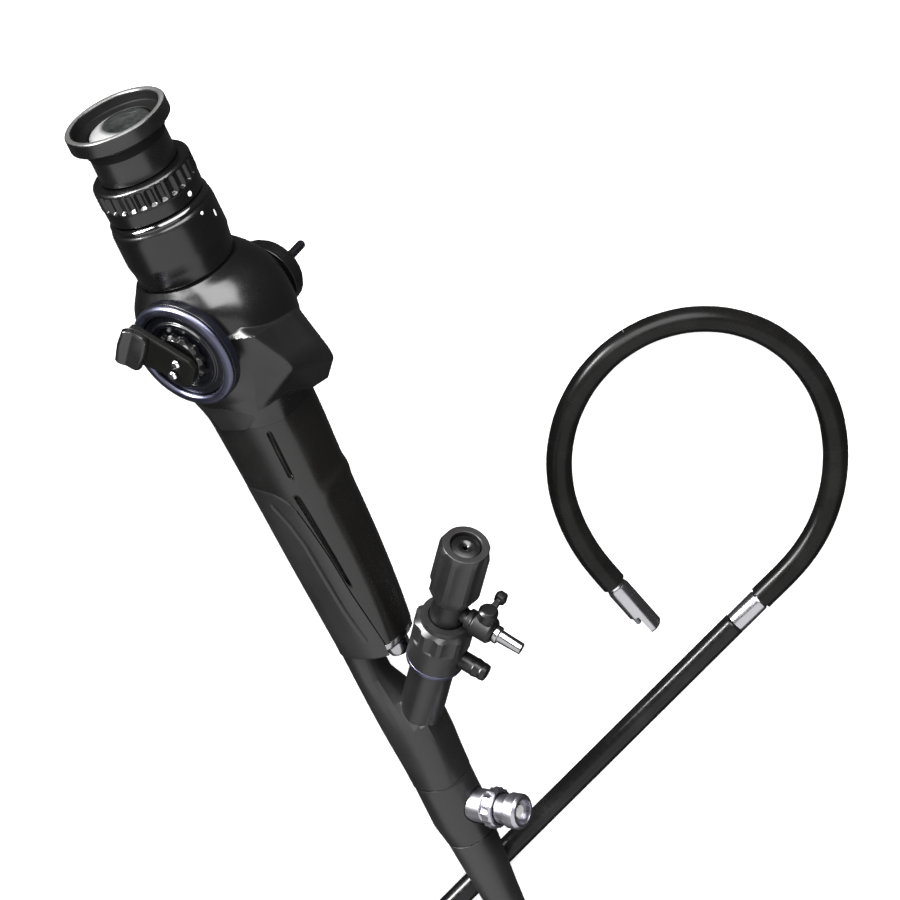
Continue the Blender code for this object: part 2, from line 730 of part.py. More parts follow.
def build_end_plate(pose):
    """Bright metal plate under the grip, with a domed nut at the front."""
    angles = even_angles(28)
    low = GRIP_STATIONS[-1][0] - 0.3
    reach = grip_reach(GRIP_STATIONS[-1][0], 0.3 * MM)
    small = grip_reach(GRIP_STATIONS[-1][0], 1.0 * MM)
    rings = [
        section_ring(low * MM, reach, angles),
        section_ring((low - 1.8) * MM, reach, angles),
        section_ring((low - 2.6) * MM, small, angles),
        section_ring((low - 2.6) * MM, lambda a: BUNDLE_BORE, angles, BUNDLE_OFFSET),
        section_ring(low * MM, lambda a: BUNDLE_BORE, angles, BUNDLE_OFFSET),
    ]
    plate = add_solid("end_plate", rings_solid(rings, hollow=True), "chrome", pose)
    nut = axis_frame((8.6 * MM, 0.0, 0.0), (0.0, -1.0, 0.0), (1.0, 0.0, 0.0))
    start = -(low - 1.4) * MM
    profile = [
        (0.0, start), (4.0 * MM, start), (4.0 * MM, start + 4.6 * MM),
        (3.2 * MM, start + 6.2 * MM), (0.0, start + 6.6 * MM),
    ]
    cut(plate, "add_front_nut", turn(profile, nut, 20), pose, "UNION")


def port_frame():
    """Frame of the channel port; its first vector points away from the body."""
    way = (math.sin(PORT_ANGLE), math.cos(PORT_ANGLE), 0.0)
    return axis_frame((0.0, PORT_Y, 0.0), way, (1.0, 0.0, 0.0))


def build_lower_body(pose):
    """Y-shaped lower body: spine, branch tube, and the two bores."""
    angles = even_angles(28)
    rings = []
    for y, centre, *sizes in LOWER_STATIONS:
        reach = lambda a, s=sizes: oval_reach(a, *s, LOWER_SQUARENESS) * MM
        rings.append(section_ring(y * MM, reach, angles, centre * MM))
    lower = add_solid("lower_body", rings_solid(rings), "grey_plastic", pose)
    frame = port_frame()
    branch = [(0.0, 0.0), (BRANCH_RADIUS, 0.0), (BRANCH_RADIUS, BRANCH_LENGTH), (0.0, BRANCH_LENGTH)]
    cut(lower, "add_branch", turn(branch, frame, 28), pose, "UNION")
    size = BUNDLE_BORE
    high = LOWER_STATIONS[0][0] * MM + 3.0 * MM
    low = LOWER_STATIONS[-1][0] * MM - 4.0 * MM
    bore = [(0.0, high), (size, high), (size, low), (0.0, low)]
    cut(lower, "cut_main_bore", turn(bore, BUNDLE, 16), pose)
    channel = [
        (0.0, -6.0 * MM), (CHANNEL_RADIUS, -6.0 * MM),
        (CHANNEL_RADIUS, BRANCH_LENGTH + 4.0 * MM), (0.0, BRANCH_LENGTH + 4.0 * MM),
    ]
    cut(lower, "cut_channel_bore", turn(channel, frame, 16), pose)


def build_port_ring(pose):
    """Metal flange ring on top of the branch."""
    low = PORT_RING_LOW
    high = low + PORT_RING_HEIGHT
    profile = [
        (CHANNEL_RADIUS + GAP, low),
        (PORT_RING_RADIUS - 0.6 * MM, low),
        (PORT_RING_RADIUS, low + 0.8 * MM),
        (PORT_RING_RADIUS, high),
        (CHANNEL_RADIUS + GAP, high),
    ]
    add_solid("port_ring", turn(profile, port_frame(), 28), "chrome", pose)


def build_plug_body(pose):
    """Fluted plug body with a socket for the suction nipple."""
    low = PLUG_LOW
    high = low + PLUG_HEIGHT
    socket = PORT_NECK_RADIUS + GAP
    profile = [
        (CHANNEL_RADIUS + GAP, low),
        (PLUG_RADIUS - 0.4 * MM, low),
        (PLUG_RADIUS - 0.4 * MM, high - 10.2 * MM),
        (PLUG_RADIUS, high - 9.6 * MM),
        (PLUG_RADIUS, high - 3.0 * MM),
        (PLUG_RADIUS - 1.6 * MM, high - 2.0 * MM),
        (PLUG_RADIUS - 1.6 * MM, high),
        (socket, high),
        (socket, high - NECK_SOCKET_DEPTH),
        (CHANNEL_RADIUS + GAP, high - NECK_SOCKET_DEPTH),
    ]
    flutes = (10, 0.8 * MM, (3, 4))
    plug = add_solid("plug_body", turn(profile, port_frame(), 40, flutes), "grey_plastic", pose)
    size = NIPPLE_RADIUS + GAP
    hole = [(0.0, 4.4 * MM), (size, 4.4 * MM), (size, 15.0 * MM), (0.0, 15.0 * MM)]
    cut(plug, "cut_nipple_socket", turn(hole, side_frame(STUB_STATION), 16), pose)


def side_frame(station):
    """Frame of a side branch that leaves the port axis at a right angle."""
    origin, first, second, along = port_frame()
    return axis_frame(origin + along * station, first, along)


def build_suction_nipple(pose):
    """Black suction nipple on the side of the plug body."""
    size = NIPPLE_RADIUS
    profile = [
        (1.4 * MM, 4.8 * MM), (size, 4.8 * MM), (size, 13.0 * MM),
        (size + 0.2 * MM, 13.4 * MM), (size - 0.2 * MM, 15.6 * MM), (size, 16.0 * MM),
        (size - 0.35 * MM, 17.6 * MM), (1.4 * MM, 17.6 * MM),
    ]
    add_solid("suction_nipple", turn(profile, side_frame(STUB_STATION), 20), "black_plastic", pose)


def build_port_neck(pose):
    """Neck tube between the plug body and the cap, with a side socket."""
    low = PORT_NECK_LOW
    shoulder = low + PORT_NECK_SHOULDER
    high = low + PORT_NECK_HEIGHT
    profile = [
        (2.0 * MM, low), (PORT_NECK_RADIUS, low), (PORT_NECK_RADIUS, shoulder),
        (SPIGOT_RADIUS, shoulder), (SPIGOT_RADIUS, high), (2.0 * MM, high),
    ]
    neck = add_solid("port_neck", turn(profile, port_frame(), 24), "black_plastic", pose)
    size = VALVE_STEM_RADIUS + GAP
    hole = [(0.0, 3.4 * MM), (size, 3.4 * MM), (size, 9.0 * MM), (0.0, 9.0 * MM)]
    cut(neck, "cut_valve_socket", turn(hole, side_frame(SIDE_VALVE_STATION), 16), pose)


def build_port_cap(pose):
    """Fluted cap that turns on the neck, with a seal in its top."""
    low = PORT_CAP_LOW
    high = PORT_CAP_TOP
    bore = SPIGOT_RADIUS + 0.4 * MM
    profile = [
        (bore, low),
        (6.4 * MM, low),
        (PORT_CAP_RADIUS, low + 4.2 * MM),
        (PORT_CAP_RADIUS, high - 2.6 * MM),
        (PORT_CAP_RADIUS - 1.0 * MM, high),
        (4.9 * MM, high),
        (4.9 * MM, high - 3.4 * MM),
        (1.6 * MM, high - 3.4 * MM),
        (1.6 * MM, high - 8.0 * MM),
        (bore, high - 8.0 * MM),
    ]
    flutes = (8, 0.9 * MM, (2, 3))
    frame = port_frame()
    pivot = frame[0] + frame[3] * (0.5 * (low + high))
    add_solid("port_cap", turn(profile, frame, 32, flutes), "grey_plastic", pose, pivot)
    seal = [
        (0.7 * MM, high - 3.1 * MM), (4.6 * MM, high - 3.1 * MM),
        (4.6 * MM, high - 1.0 * MM), (2.2 * MM, high - 0.7 * MM), (0.7 * MM, high - 1.5 * MM),
    ]
    add_solid("cap_seal", turn(seal, frame, 24), "black_rubber", pose, pivot)


def build_side_valve(pose):
    """Side valve body, its metal luer nozzle and the turning key."""
    frame = side_frame(SIDE_VALVE_STATION)
    stem = VALVE_STEM_RADIUS
    collar = stem + 0.9 * MM
    wide = stem + 1.9 * MM
    body = [
        (0.5 * stem, 3.7 * MM), (stem, 3.7 * MM), (stem, 6.6 * MM), (collar, 6.9 * MM),
        (collar, 8.6 * MM), (wide, 9.4 * MM), (wide, 15.2 * MM), (collar, 16.2 * MM),
        (0.5 * stem, 16.2 * MM),
    ]
    add_solid("side_valve", turn(body, frame, 16), "black_plastic", pose)
    nozzle = scaled([
        (1.1, 16.5), (2.9, 16.5), (2.9, 18.0), (2.1, 18.2), (1.9, 26.0), (1.1, 26.0),
    ])
    add_solid("luer_nozzle", turn(nozzle, frame, 16), "chrome", pose)


def valve_key_frame():
    """Frame of the key axis, along the port, over the side valve."""
    origin, along, _, radial = side_frame(SIDE_VALVE_STATION)
    return axis_frame(origin + radial * VALVE_RADIAL, along, radial)


def build_valve_key(pose):
    """Turning key of the side valve: hub, short arm and knobbed arm."""
    origin, radial, third, up = valve_key_frame()
    low = 4.6 * MM
    hub = [
        (0.0, low), (3.1 * MM, low), (3.1 * MM, low + 3.2 * MM),
        (2.3 * MM, low + 4.0 * MM), (0.0, low + 4.0 * MM),
    ]
    pivot = origin + up * low
    add_solid("key_hub", turn(hub, (origin, radial, third, up), 16), "black_plastic", pose, pivot)
    arm_frame = (origin, Vector((0.0, 0.0, -1.0)), radial, up)
    rings = []
    rows = (
        (3.4, 0.6, 2.6, 1.1), (6.0, 0.8, 2.8, 0.9), (6.5, 0.2, 3.6, 1.7),
        (8.1, 0.0, 3.8, 1.9), (9.4, 0.4, 3.4, 1.5),
    )
    for along, lower, upper, half in rows:
        rings.append(bar_ring(arm_frame, along * MM, low + lower * MM, low + upper * MM, half * MM))
    add_solid("key_arm", rings_solid(rings), "black_plastic", pose, pivot)


def build_guide_sleeve(pose):
    """Sleeve below the lower body with the seat of the light-guide connector."""
    middle = 0.5 * (SLEEVE_TOP + SLEEVE_END)
    profile = [
        (SLEEVE_BORE, SLEEVE_TOP),
        (SLEEVE_RADIUS - 0.5 * MM, SLEEVE_TOP),
        (SLEEVE_RADIUS, SLEEVE_TOP - 1.0 * MM),
        (SLEEVE_RADIUS, middle - 4.0 * MM),
        (SLEEVE_RADIUS - 1.3 * MM, SLEEVE_END),
        (SLEEVE_BORE, SLEEVE_END),
    ]
    sleeve = add_solid("guide_sleeve", turn(profile, LONG, 24), "black_plastic", pose)
    seat = [
        (0.0, 6.4 * MM), (GUIDE_RADIUS + GAP, 6.4 * MM),
        (GUIDE_RADIUS + GAP, 14.0 * MM), (0.0, 14.0 * MM),
    ]
    cut(sleeve, "cut_guide_seat", turn(seat, guide_frame(), 20), pose)


def guide_frame():
    """Frame of the light-guide connector, pointing to the front."""
    way = (math.cos(GUIDE_TILT), -math.sin(GUIDE_TILT), 0.0)
    return axis_frame((0.0, GUIDE_Y, 0.0), way, (0.0, 1.0, 0.0))


def build_light_guide(pose):
    """Light-guide connector: barrel, collar, head and glass rod."""
    frame = guide_frame()
    end = GUIDE_END
    barrel = [
        (2.4 * MM, 6.7 * MM), (GUIDE_RADIUS, 6.7 * MM), (GUIDE_RADIUS, 13.0 * MM),
        (GUIDE_RADIUS - 0.7 * MM, 13.6 * MM), (GUIDE_RADIUS - 0.7 * MM, end - 5.2 * MM),
        (GUIDE_RADIUS + 0.3 * MM, end - 4.6 * MM), (GUIDE_RADIUS + 0.3 * MM, end - 0.9 * MM),
        (GUIDE_RADIUS - 0.6 * MM, end), (GUIDE_RADIUS - 1.5 * MM, end),
        (GUIDE_RADIUS - 1.5 * MM, end - 2.2 * MM), (2.4 * MM, end - 2.2 * MM),
    ]
    add_solid("guide_barrel", turn(barrel, frame, 20), "chrome", pose)
    collar = [
        (GUIDE_RADIUS - 0.3 * MM, 14.6 * MM), (6.7 * MM, 14.6 * MM), (6.7 * MM, 17.2 * MM),
        (6.0 * MM, 18.0 * MM), (GUIDE_RADIUS - 0.3 * MM, 18.0 * MM),
    ]
    pivot = frame[0] + frame[3] * (16.0 * MM)
    shape = turn(collar, frame, 32, (16, 0.45 * MM, (1, 2)))
    add_solid("guide_collar", shape, "steel", pose, pivot)
    rod = [(0.0, 6.7 * MM), (2.1 * MM, 6.7 * MM), (2.1 * MM, end - 1.4 * MM), (0.0, end - 1.2 * MM)]
    add_solid("guide_rod", turn(rod, frame, 16), "glass", pose)


def build_boot(pose):
    """Soft tapering boot around the start of the insertion tube."""
    bore = TUBE_RADIUS + 0.35 * MM
    profile = [(bore, BOOT_TOP)]
    for radius, drop in BOOT_PROFILE:
        profile.append((radius * MM, BOOT_TOP - drop * BOOT_LENGTH))
    profile.append((bore, BOOT_END))
    add_solid("boot", turn(profile, LONG, 24), "black_rubber", pose)


def build_image_bundle(pose):
    """Image bundle that runs inside, from the ocular to the sleeve."""
    size = BUNDLE_BORE - 0.4 * MM
    head = BUNDLE_BORE + 0.9 * MM
    low = SLEEVE_END + 4.0 * MM
    profile = [
        (0.0, BUNDLE_TOP), (head, BUNDLE_TOP), (head, BUNDLE_TOP - 6.0 * MM),
        (size, BUNDLE_TOP - 7.5 * MM), (size, low), (0.0, low),
    ]
    add_solid("image_bundle", turn(profile, BUNDLE, 14), "fibre", pose)


def heading_vector(angle):
    """Unit vector on the table at a heading."""
    return Vector((math.cos(angle), math.sin(angle), 0.0))


def build_connecting_ring():
    """Metal ring between the insertion tube and the bending section."""
    start = Vector((RING_START[0] * MM, RING_START[1] * MM, COVER_RADIUS))
    frame = axis_frame(start, heading_vector(TUBE_HEADING), (0.0, 0.0, 1.0))
    profile = [
        (2.2 * MM, 0.0), (RING_RADIUS, 0.0), (RING_RADIUS, RING_LENGTH - 0.8 * MM),
        (RING_RADIUS - 0.5 * MM, RING_LENGTH), (2.2 * MM, RING_LENGTH),
    ]
    add_solid("connecting_ring", turn(profile, frame, 24), "steel", Matrix.Identity(4))


def hinge_points():
    """Hinge positions on the table and the heading after each hinge."""
    heading = TUBE_HEADING
    start = Vector((RING_START[0] * MM, RING_START[1] * MM, COVER_RADIUS))
    place = start + heading_vector(heading) * FIRST_HINGE
    rows = []
    for angle in BEND_ANGLES:
        heading += math.radians(angle)
        rows.append((place.copy(), heading))
        place = place + heading_vector(heading) * LINK_PITCH
    return rows, place, heading


TONGUE = 1.35 * MM
SOCKET = 1.8 * MM
STEP_BACK = 0.85 * MM


def link_edge(across, size, fallback):
    """Axial reach of a round tongue or socket at a sideways distance."""
    if abs(across) >= size * 0.999:
        return fallback
    return math.sqrt(size * size - across * across)


def link_shape(start, length, socket=True, tongue=True):
    """Vertebra: a tube wall with a socket at one end and tongues at the other."""
    marks = (0.0, 14.0, 24.6, 25.8, 52.0)
    angles = []
    for base in (90.0, 270.0):
        angles += [base - m for m in reversed(marks[1:])] + [base + m for m in marks]
    angles = [math.radians(value) for value in angles]
    rings = [[], [], [], []]
    for angle in angles:
        side = abs(math.cos(angle)) * LINK_RADIUS
        near = start
        if socket:
            near = max(STEP_BACK, link_edge(side, SOCKET, STEP_BACK))
        far = length
        if tongue:
            far = length + link_edge(side, TONGUE, -STEP_BACK)
        for ring, radius, x in (
            (rings[0], LINK_RADIUS, near), (rings[1], LINK_RADIUS, far),
            (rings[2], LINK_RADIUS - LINK_WALL, far), (rings[3], LINK_RADIUS - LINK_WALL, near),
        ):
            ring.append(Vector((x, math.cos(angle) * radius, math.sin(angle) * radius)))
    return rings_solid(rings, hollow=True)


def build_links():
    """Vertebrae of the bending section, each with its origin on its hinge."""
    rows, _, _ = hinge_points()
    start = Vector((RING_START[0] * MM, RING_START[1] * MM, COVER_RADIUS))
    pose = Matrix.Translation(start) @ Matrix.Rotation(TUBE_HEADING, 4, "Z")
    shape = link_shape(RING_LENGTH + GAP, FIRST_HINGE, socket=False)
    add_solid("link_00", shape, "steel", pose)
    last = len(rows)
    for number, (place, heading) in enumerate(rows, start=1):
        pose = Matrix.Translation(place) @ Matrix.Rotation(heading, 4, "Z")
        ends = number == last
        length = LINK_PITCH - GAP if ends else LINK_PITCH
        shape = link_shape(0.0, length, tongue=not ends)
        add_solid("link_%02d" % number, shape, "steel", pose)


def cover_path():
    """Smooth centre line of the bending cover and the heading at each point."""
    rows, end, heading = hinge_points()
    begin = Vector((RING_START[0] * MM, RING_START[1] * MM, COVER_RADIUS))
    begin = begin + heading_vector(TUBE_HEADING) * (RING_LENGTH + GAP)
    points = [begin] + [row[0] for row in rows] + [end]
    headings = [TUBE_HEADING] + [row[1] for row in rows]
    path = [(points[0], headings[0])]
    for index in range(1, len(points) - 1):
        before = headings[index - 1]
        after = headings[index]
        path.append((points[index] - heading_vector(before) * 2.2 * MM, before))
        path.append((points[index] + heading_vector(after) * 2.2 * MM, after))
    path.append((points[-1] - heading_vector(headings[-1]) * GAP, headings[-1]))
    return path


def build_bending_cover():
    """Rubber cover over the bending section, one hollow sweep."""
    segments = 10
    outer = []
    inner = []
    for place, heading in cover_path():
        side = Vector((-math.sin(heading), math.cos(heading), 0.0))
        for store, radius in ((outer, COVER_RADIUS), (inner, COVER_RADIUS - COVER_WALL)):
            ring = []
            for step in range(segments):
                angle = 2.0 * math.pi * (step + 0.5) / segments
                reach = radius / math.cos(math.pi / segments) if radius < COVER_RADIUS else radius
                ring.append(place + side * math.cos(angle) * reach
                            + Vector((0.0, 0.0, math.sin(angle) * reach)))
            store.append(ring)
    rings = outer + inner[::-1]
    add_solid("bending_cover", rings_solid(rings, hollow=True), "black_rubber", Matrix.Identity(4))


def tip_frame():
    """Frame of the distal tip."""
    _, end, heading = hinge_points()
    return axis_frame(end, heading_vector(heading), (0.0, 0.0, 1.0)), end


def build_tip():
    """Metal distal tip with its stepped end, lens and light window."""
    frame, pivot = tip_frame()
    rows, _, _ = hinge_points()
    pivot = rows[-1][0]
    body = [
        (1.3 * MM, 0.0), (TIP_RADIUS - 0.5 * MM, 0.0), (TIP_RADIUS, 1.6 * MM),
        (TIP_RADIUS, TIP_LENGTH - 0.8 * MM), (TIP_RADIUS - 0.7 * MM, TIP_LENGTH), (1.3 * MM, TIP_LENGTH),
    ]
    flat = Matrix.Identity(4)
    tip = add_solid("tip_body", turn(body, frame, 24), "steel", flat, pivot)
    origin, up, side, along = frame
    step = []
    for reach in (TIP_LENGTH - TIP_STEP, TIP_LENGTH + 2.0 * MM):
        base = origin + along * reach
        near = side * 0.9 * MM
        far = side * 6.0 * MM
        tall = up * 6.0 * MM
        step.append([base + near + tall, base + far + tall, base + far - tall, base + near - tall])
    cut(tip, "cut_tip_step", rings_solid(step), flat)
    spot = origin + side * 2.25 * MM
    lens = [(0.0, 0.0), (0.9 * MM, 0.0), (0.9 * MM, 3.0 * MM), (0.5 * MM, 3.4 * MM), (0.0, 3.4 * MM)]
    block_frame = axis_frame(spot + along * (TIP_LENGTH - TIP_STEP + GAP), along, up)
    add_solid("tip_lens", turn(lens, block_frame, 14), "glass", flat, pivot)


def tube_route():
    """Centre line points of the insertion tube, from the boot to the ring."""
    pose = lay_pose(head_height())
    inside = pose @ Vector((0.0, SLEEVE_END - 3.0 * MM, 0.0))
    mouth = pose @ Vector((0.0, BOOT_END, 0.0))
    down = (mouth - inside).normalized()
    ring = Vector((RING_START[0] * MM, RING_START[1] * MM, TUBE_RADIUS))
    way = heading_vector(TUBE_HEADING)
    normal = Vector((-way.y, way.x, 0.0))
    radius = LOOP_RADIUS
    offset = normal.dot(ring)
    centre_y = (offset - radius - normal.x * -radius) / normal.y
    centre = Vector((-radius, centre_y, 0.0))
    points = [inside, inside.lerp(mouth, 0.5), mouth]
    lead = mouth.y - centre_y
    steps = max(3, int(lead / (8.0 * MM)))
    for number in range(1, steps):
        share = number / steps
        points.append(Vector((0.0, mouth.y - lead * share, mouth.z + down.z * lead * share)))
    turn_angle = 2.0 * math.pi - (math.pi / 2.0 + TUBE_HEADING)
    count = 26
    first_height = points[-1].z
    for number in range(count + 1):
        share = number / count
        angle = -turn_angle * share
        height = TUBE_RADIUS
        fall = min(1.0, share * 2.6)
        ease = fall * fall * (3.0 - 2.0 * fall)
        height = first_height + (TUBE_RADIUS - first_height) * ease
        place = centre + Vector((math.cos(angle), math.sin(angle), 0.0)) * radius
        points.append(Vector((place.x, place.y, height)))
    leave = points[-1]
    length = (ring - way * GAP - leave).length
    straight = max(4, int(length / (16.0 * MM)))
    for number in range(1, straight + 1):
        share = number / straight
        spot = leave.lerp(ring - way * GAP, share)
        spot.z = TUBE_RADIUS
        points.append(spot)
    return points


def build_insertion_tube():
    """Insertion tube as a round cord through the route points."""
    points = tube_route()
    curve = bpy.data.curves.new("insertion_tube", "CURVE")
    curve.dimensions = "3D"
    curve.bevel_depth = TUBE_RADIUS
    curve.bevel_resolution = 3
    curve.use_fill_caps = True
    spline = curve.splines.new("POLY")
    spline.points.add(len(points) - 1)
    for spot, place in zip(spline.points, points):
        spot.co = (place.x, place.y, place.z, 1.0)
    item = bpy.data.objects.new("insertion_tube", curve)
    bpy.context.scene.collection.objects.link(item)
    add_material(item, "tube_cover")


CORD_NAMES = ("insertion_tube", "connecting_ring", "bending_cover", "tip_body", "tip_lens")


def centre_on_control_section():
    """Move everything so that the control section is centred over the origin."""
    bpy.context.view_layer.update()
    graph = bpy.context.evaluated_depsgraph_get()
    low = Vector((1e9, 1e9, 1e9))
    high = -low
    for item in bpy.data.objects:
        skip = item.hide_render or item.name in CORD_NAMES or item.name.startswith("link_")
        if skip:
            continue
        shown = item.evaluated_get(graph)
        for vertex in shown.data.vertices:
            place = item.matrix_world @ vertex.co
            low = Vector(map(min, low, place))
            high = Vector(map(max, high, place))
    middle = 0.5 * (low + high)
    shift = Matrix.Translation((-middle.x, -middle.y, 0.0))
    for item in bpy.data.objects:
        item.matrix_world = shift @ item.matrix_world


def main():
    clear_scene()
    pose = lay_pose(head_height())
    build_eyecup(pose)
    build_ocular_lens(pose)
    build_dioptre_ring(pose)
    build_eyepiece_base(pose)
    build_head(pose)
    build_control_plate(pose)
    build_lever_shaft(pose)
    build_lever_hub(pose)
    build_lever_arm(pose)
    build_thumb_pad(pose)
    build_lever_screws(pose)
    build_vent_boss(pose)
    build_grip(pose)
    build_grip_panel(pose)
    build_end_plate(pose)
    build_lower_body(pose)
    build_port_ring(pose)
    build_plug_body(pose)
    build_suction_nipple(pose)
    build_port_neck(pose)
    build_port_cap(pose)
    build_side_valve(pose)
    build_valve_key(pose)
    build_guide_sleeve(pose)
    build_light_guide(pose)
    build_boot(pose)
    build_image_bundle(pose)
    build_connecting_ring()
    build_links()
    build_bending_cover()
    build_tip()
    build_insertion_tube()
    centre_on_control_section()


main()
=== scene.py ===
# %% [markdown]
# A fibre endoscope lies on a pale table: eyepiece, domed head with a thumb lever, grip, channel port,
# light-guide connector, and a long black tube that ends in a bending tip. The solid pieces come from a
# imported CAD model, which stays as a fixed frame. This lesson dresses them: it rounds their edges, gives
# every surface a finish of its own, and adds the soft and small things that CAD leaves plain.

# %% Load the frame
import json
import math

import bpy
from mathutils import Matrix, Vector
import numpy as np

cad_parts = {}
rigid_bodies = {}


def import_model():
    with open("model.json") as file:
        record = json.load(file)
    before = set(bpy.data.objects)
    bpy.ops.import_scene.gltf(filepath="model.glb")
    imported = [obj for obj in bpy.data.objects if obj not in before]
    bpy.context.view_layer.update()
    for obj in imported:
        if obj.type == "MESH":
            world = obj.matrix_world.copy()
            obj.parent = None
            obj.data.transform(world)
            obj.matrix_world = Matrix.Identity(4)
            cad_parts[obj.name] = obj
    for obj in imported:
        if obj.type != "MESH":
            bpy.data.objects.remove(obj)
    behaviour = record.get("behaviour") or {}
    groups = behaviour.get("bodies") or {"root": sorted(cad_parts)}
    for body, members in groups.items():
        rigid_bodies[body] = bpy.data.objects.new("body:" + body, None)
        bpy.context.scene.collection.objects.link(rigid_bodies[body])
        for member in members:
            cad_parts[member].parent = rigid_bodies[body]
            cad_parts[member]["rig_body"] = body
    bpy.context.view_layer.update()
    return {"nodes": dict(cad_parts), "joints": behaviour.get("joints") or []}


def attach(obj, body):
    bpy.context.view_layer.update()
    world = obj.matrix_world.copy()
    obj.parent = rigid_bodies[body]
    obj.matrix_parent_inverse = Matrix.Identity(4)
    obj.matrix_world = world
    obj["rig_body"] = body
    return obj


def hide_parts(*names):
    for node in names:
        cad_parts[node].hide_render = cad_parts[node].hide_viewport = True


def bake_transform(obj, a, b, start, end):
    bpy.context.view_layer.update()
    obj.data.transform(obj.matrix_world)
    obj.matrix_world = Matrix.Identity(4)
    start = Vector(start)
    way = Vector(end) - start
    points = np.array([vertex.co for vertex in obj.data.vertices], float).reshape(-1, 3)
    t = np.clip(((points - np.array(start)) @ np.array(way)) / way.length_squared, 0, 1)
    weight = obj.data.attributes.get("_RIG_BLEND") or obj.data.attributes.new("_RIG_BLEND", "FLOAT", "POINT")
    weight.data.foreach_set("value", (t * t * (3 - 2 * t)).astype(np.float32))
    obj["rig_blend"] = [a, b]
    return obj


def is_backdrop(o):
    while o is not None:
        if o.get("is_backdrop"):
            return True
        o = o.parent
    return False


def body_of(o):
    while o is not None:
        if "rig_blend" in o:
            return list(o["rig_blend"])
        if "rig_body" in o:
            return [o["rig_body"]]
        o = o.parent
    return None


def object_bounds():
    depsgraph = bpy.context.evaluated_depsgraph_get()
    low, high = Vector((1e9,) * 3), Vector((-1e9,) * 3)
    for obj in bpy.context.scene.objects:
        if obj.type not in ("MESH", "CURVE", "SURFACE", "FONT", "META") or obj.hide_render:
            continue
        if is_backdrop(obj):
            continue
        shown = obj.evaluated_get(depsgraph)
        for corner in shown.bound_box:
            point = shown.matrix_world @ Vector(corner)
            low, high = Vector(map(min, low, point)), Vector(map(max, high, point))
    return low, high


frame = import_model()
MM = 0.001

# %% [markdown]
# The eyepiece and the grip share one long axis, and the lever's shaft crosses it. The joints already know
# both, and reading them from the record keeps each small piece where the CAD says. A frame here is a matrix
# whose Z runs along an axis, so that a piece can be written down upright and then laid in place.

# %% Axes of the instrument
JOINTS = {joint["name"]: joint for joint in frame["joints"]}


def frame_on(place, along, side):
    """Matrix at a place with Z along one direction and X as near as it can be to another."""
    z = Vector(along).normalized()
    x = (Vector(side) - z * z.dot(Vector(side))).normalized()
    y = z.cross(x)
    turned = Matrix((x, y, z)).transposed().to_4x4()
    return Matrix.Translation(Vector(place)) @ turned


LONG_WAY = Vector(JOINTS["dioptre_turn"]["axis"]).normalized()
LEVER_WAY = Vector(JOINTS["angulation"]["axis"]).normalized()
FRONT_WAY = LONG_WAY.cross(LEVER_WAY).normalized()
DIOPTRE_MIDDLE = 50.45 * MM
LONG_ZERO = Vector(JOINTS["dioptre_turn"]["pos_m"]) - LONG_WAY * DIOPTRE_MIDDLE
LONG = frame_on(LONG_ZERO, LONG_WAY, FRONT_WAY)
print("long axis at", [round(v / MM, 1) for v in LONG_ZERO], "mm")


def spot(front, along, side):
    """A place given in millimetres toward the front, the eyepiece and the lever."""
    return LONG_ZERO + (FRONT_WAY * front + LONG_WAY * along + LEVER_WAY * side) * MM


def on_table(x, y, z):
    """A place given in millimetres from the point of the table under the head."""
    return Vector((LONG_ZERO.x, LONG_ZERO.y, 0.0)) + Vector((x, y, z)) * MM


# %% [markdown]
# The camera comes first, because every later choice is judged through it. It stands far away with a narrow
# lens, and is placed by its own three axes, written as the columns of a matrix: right, up and back.

# %% Camera
HALF_VIEW = math.radians(6.0)
SENSOR = 36.0
CAMERA_FROM_HEAD = Vector((46.325, 485.686, 1178.040)) * MM
CAMERA_RIGHT = Vector((0.903130, -0.388068, 0.183736))
CAMERA_UP = Vector((0.429367, 0.816262, -0.386471))
CAMERA_BACK = Vector((0.0, 0.427924, 0.903815))
camera_data = bpy.data.cameras.new("studio_camera")
camera_data.sensor_width = SENSOR
camera_data.lens = SENSOR / 2.0 / math.tan(HALF_VIEW)
camera_data.clip_start = 0.05
camera_data.clip_end = 20.0
camera = bpy.data.objects.new("studio_camera", camera_data)
bpy.context.scene.collection.objects.link(camera)
turn = Matrix((CAMERA_RIGHT, CAMERA_UP, CAMERA_BACK)).transposed().to_4x4()
camera.matrix_world = Matrix.Translation(LONG_ZERO + CAMERA_FROM_HEAD) @ turn
bpy.context.scene.camera = camera
print("camera: lens", round(camera_data.lens, 1), "mm")

# %% [markdown]
# Shader maths reads best as maths. A small class wraps one output of a node, and plus and times add Math
# nodes: noise * 0.2 + 0.4 makes two of them. Colours don't pass through it, because a Math node would turn
# them grey; they are blended by a Mix node instead.

# %% A value that can be calculated with
class Wire:
    """One shader value, on which sums can be written."""

    def __init__(self, finish, socket):
        self.finish = finish
        self.socket = socket

    def sum(self, operation, first, second):
        return self.finish.node("Math", {"operation": operation}, {0: first, 1: second})

    def __add__(self, other):
        return self.sum("ADD", self, other)

    def __radd__(self, other):
        return self.sum("ADD", other, self)

    def __mul__(self, other):
        return self.sum("MULTIPLY", self, other)

    def __rmul__(self, other):
        return self.sum("MULTIPLY", other, self)


print("sums on wires: plus and times")

# %% [markdown]
# A finish is a material while it is being mixed. One method adds any node: it takes the node's type, its
# settings, and the values or wires of its sockets. What varies over a surface goes only to colour,
# roughness and bump, which a bake can keep.

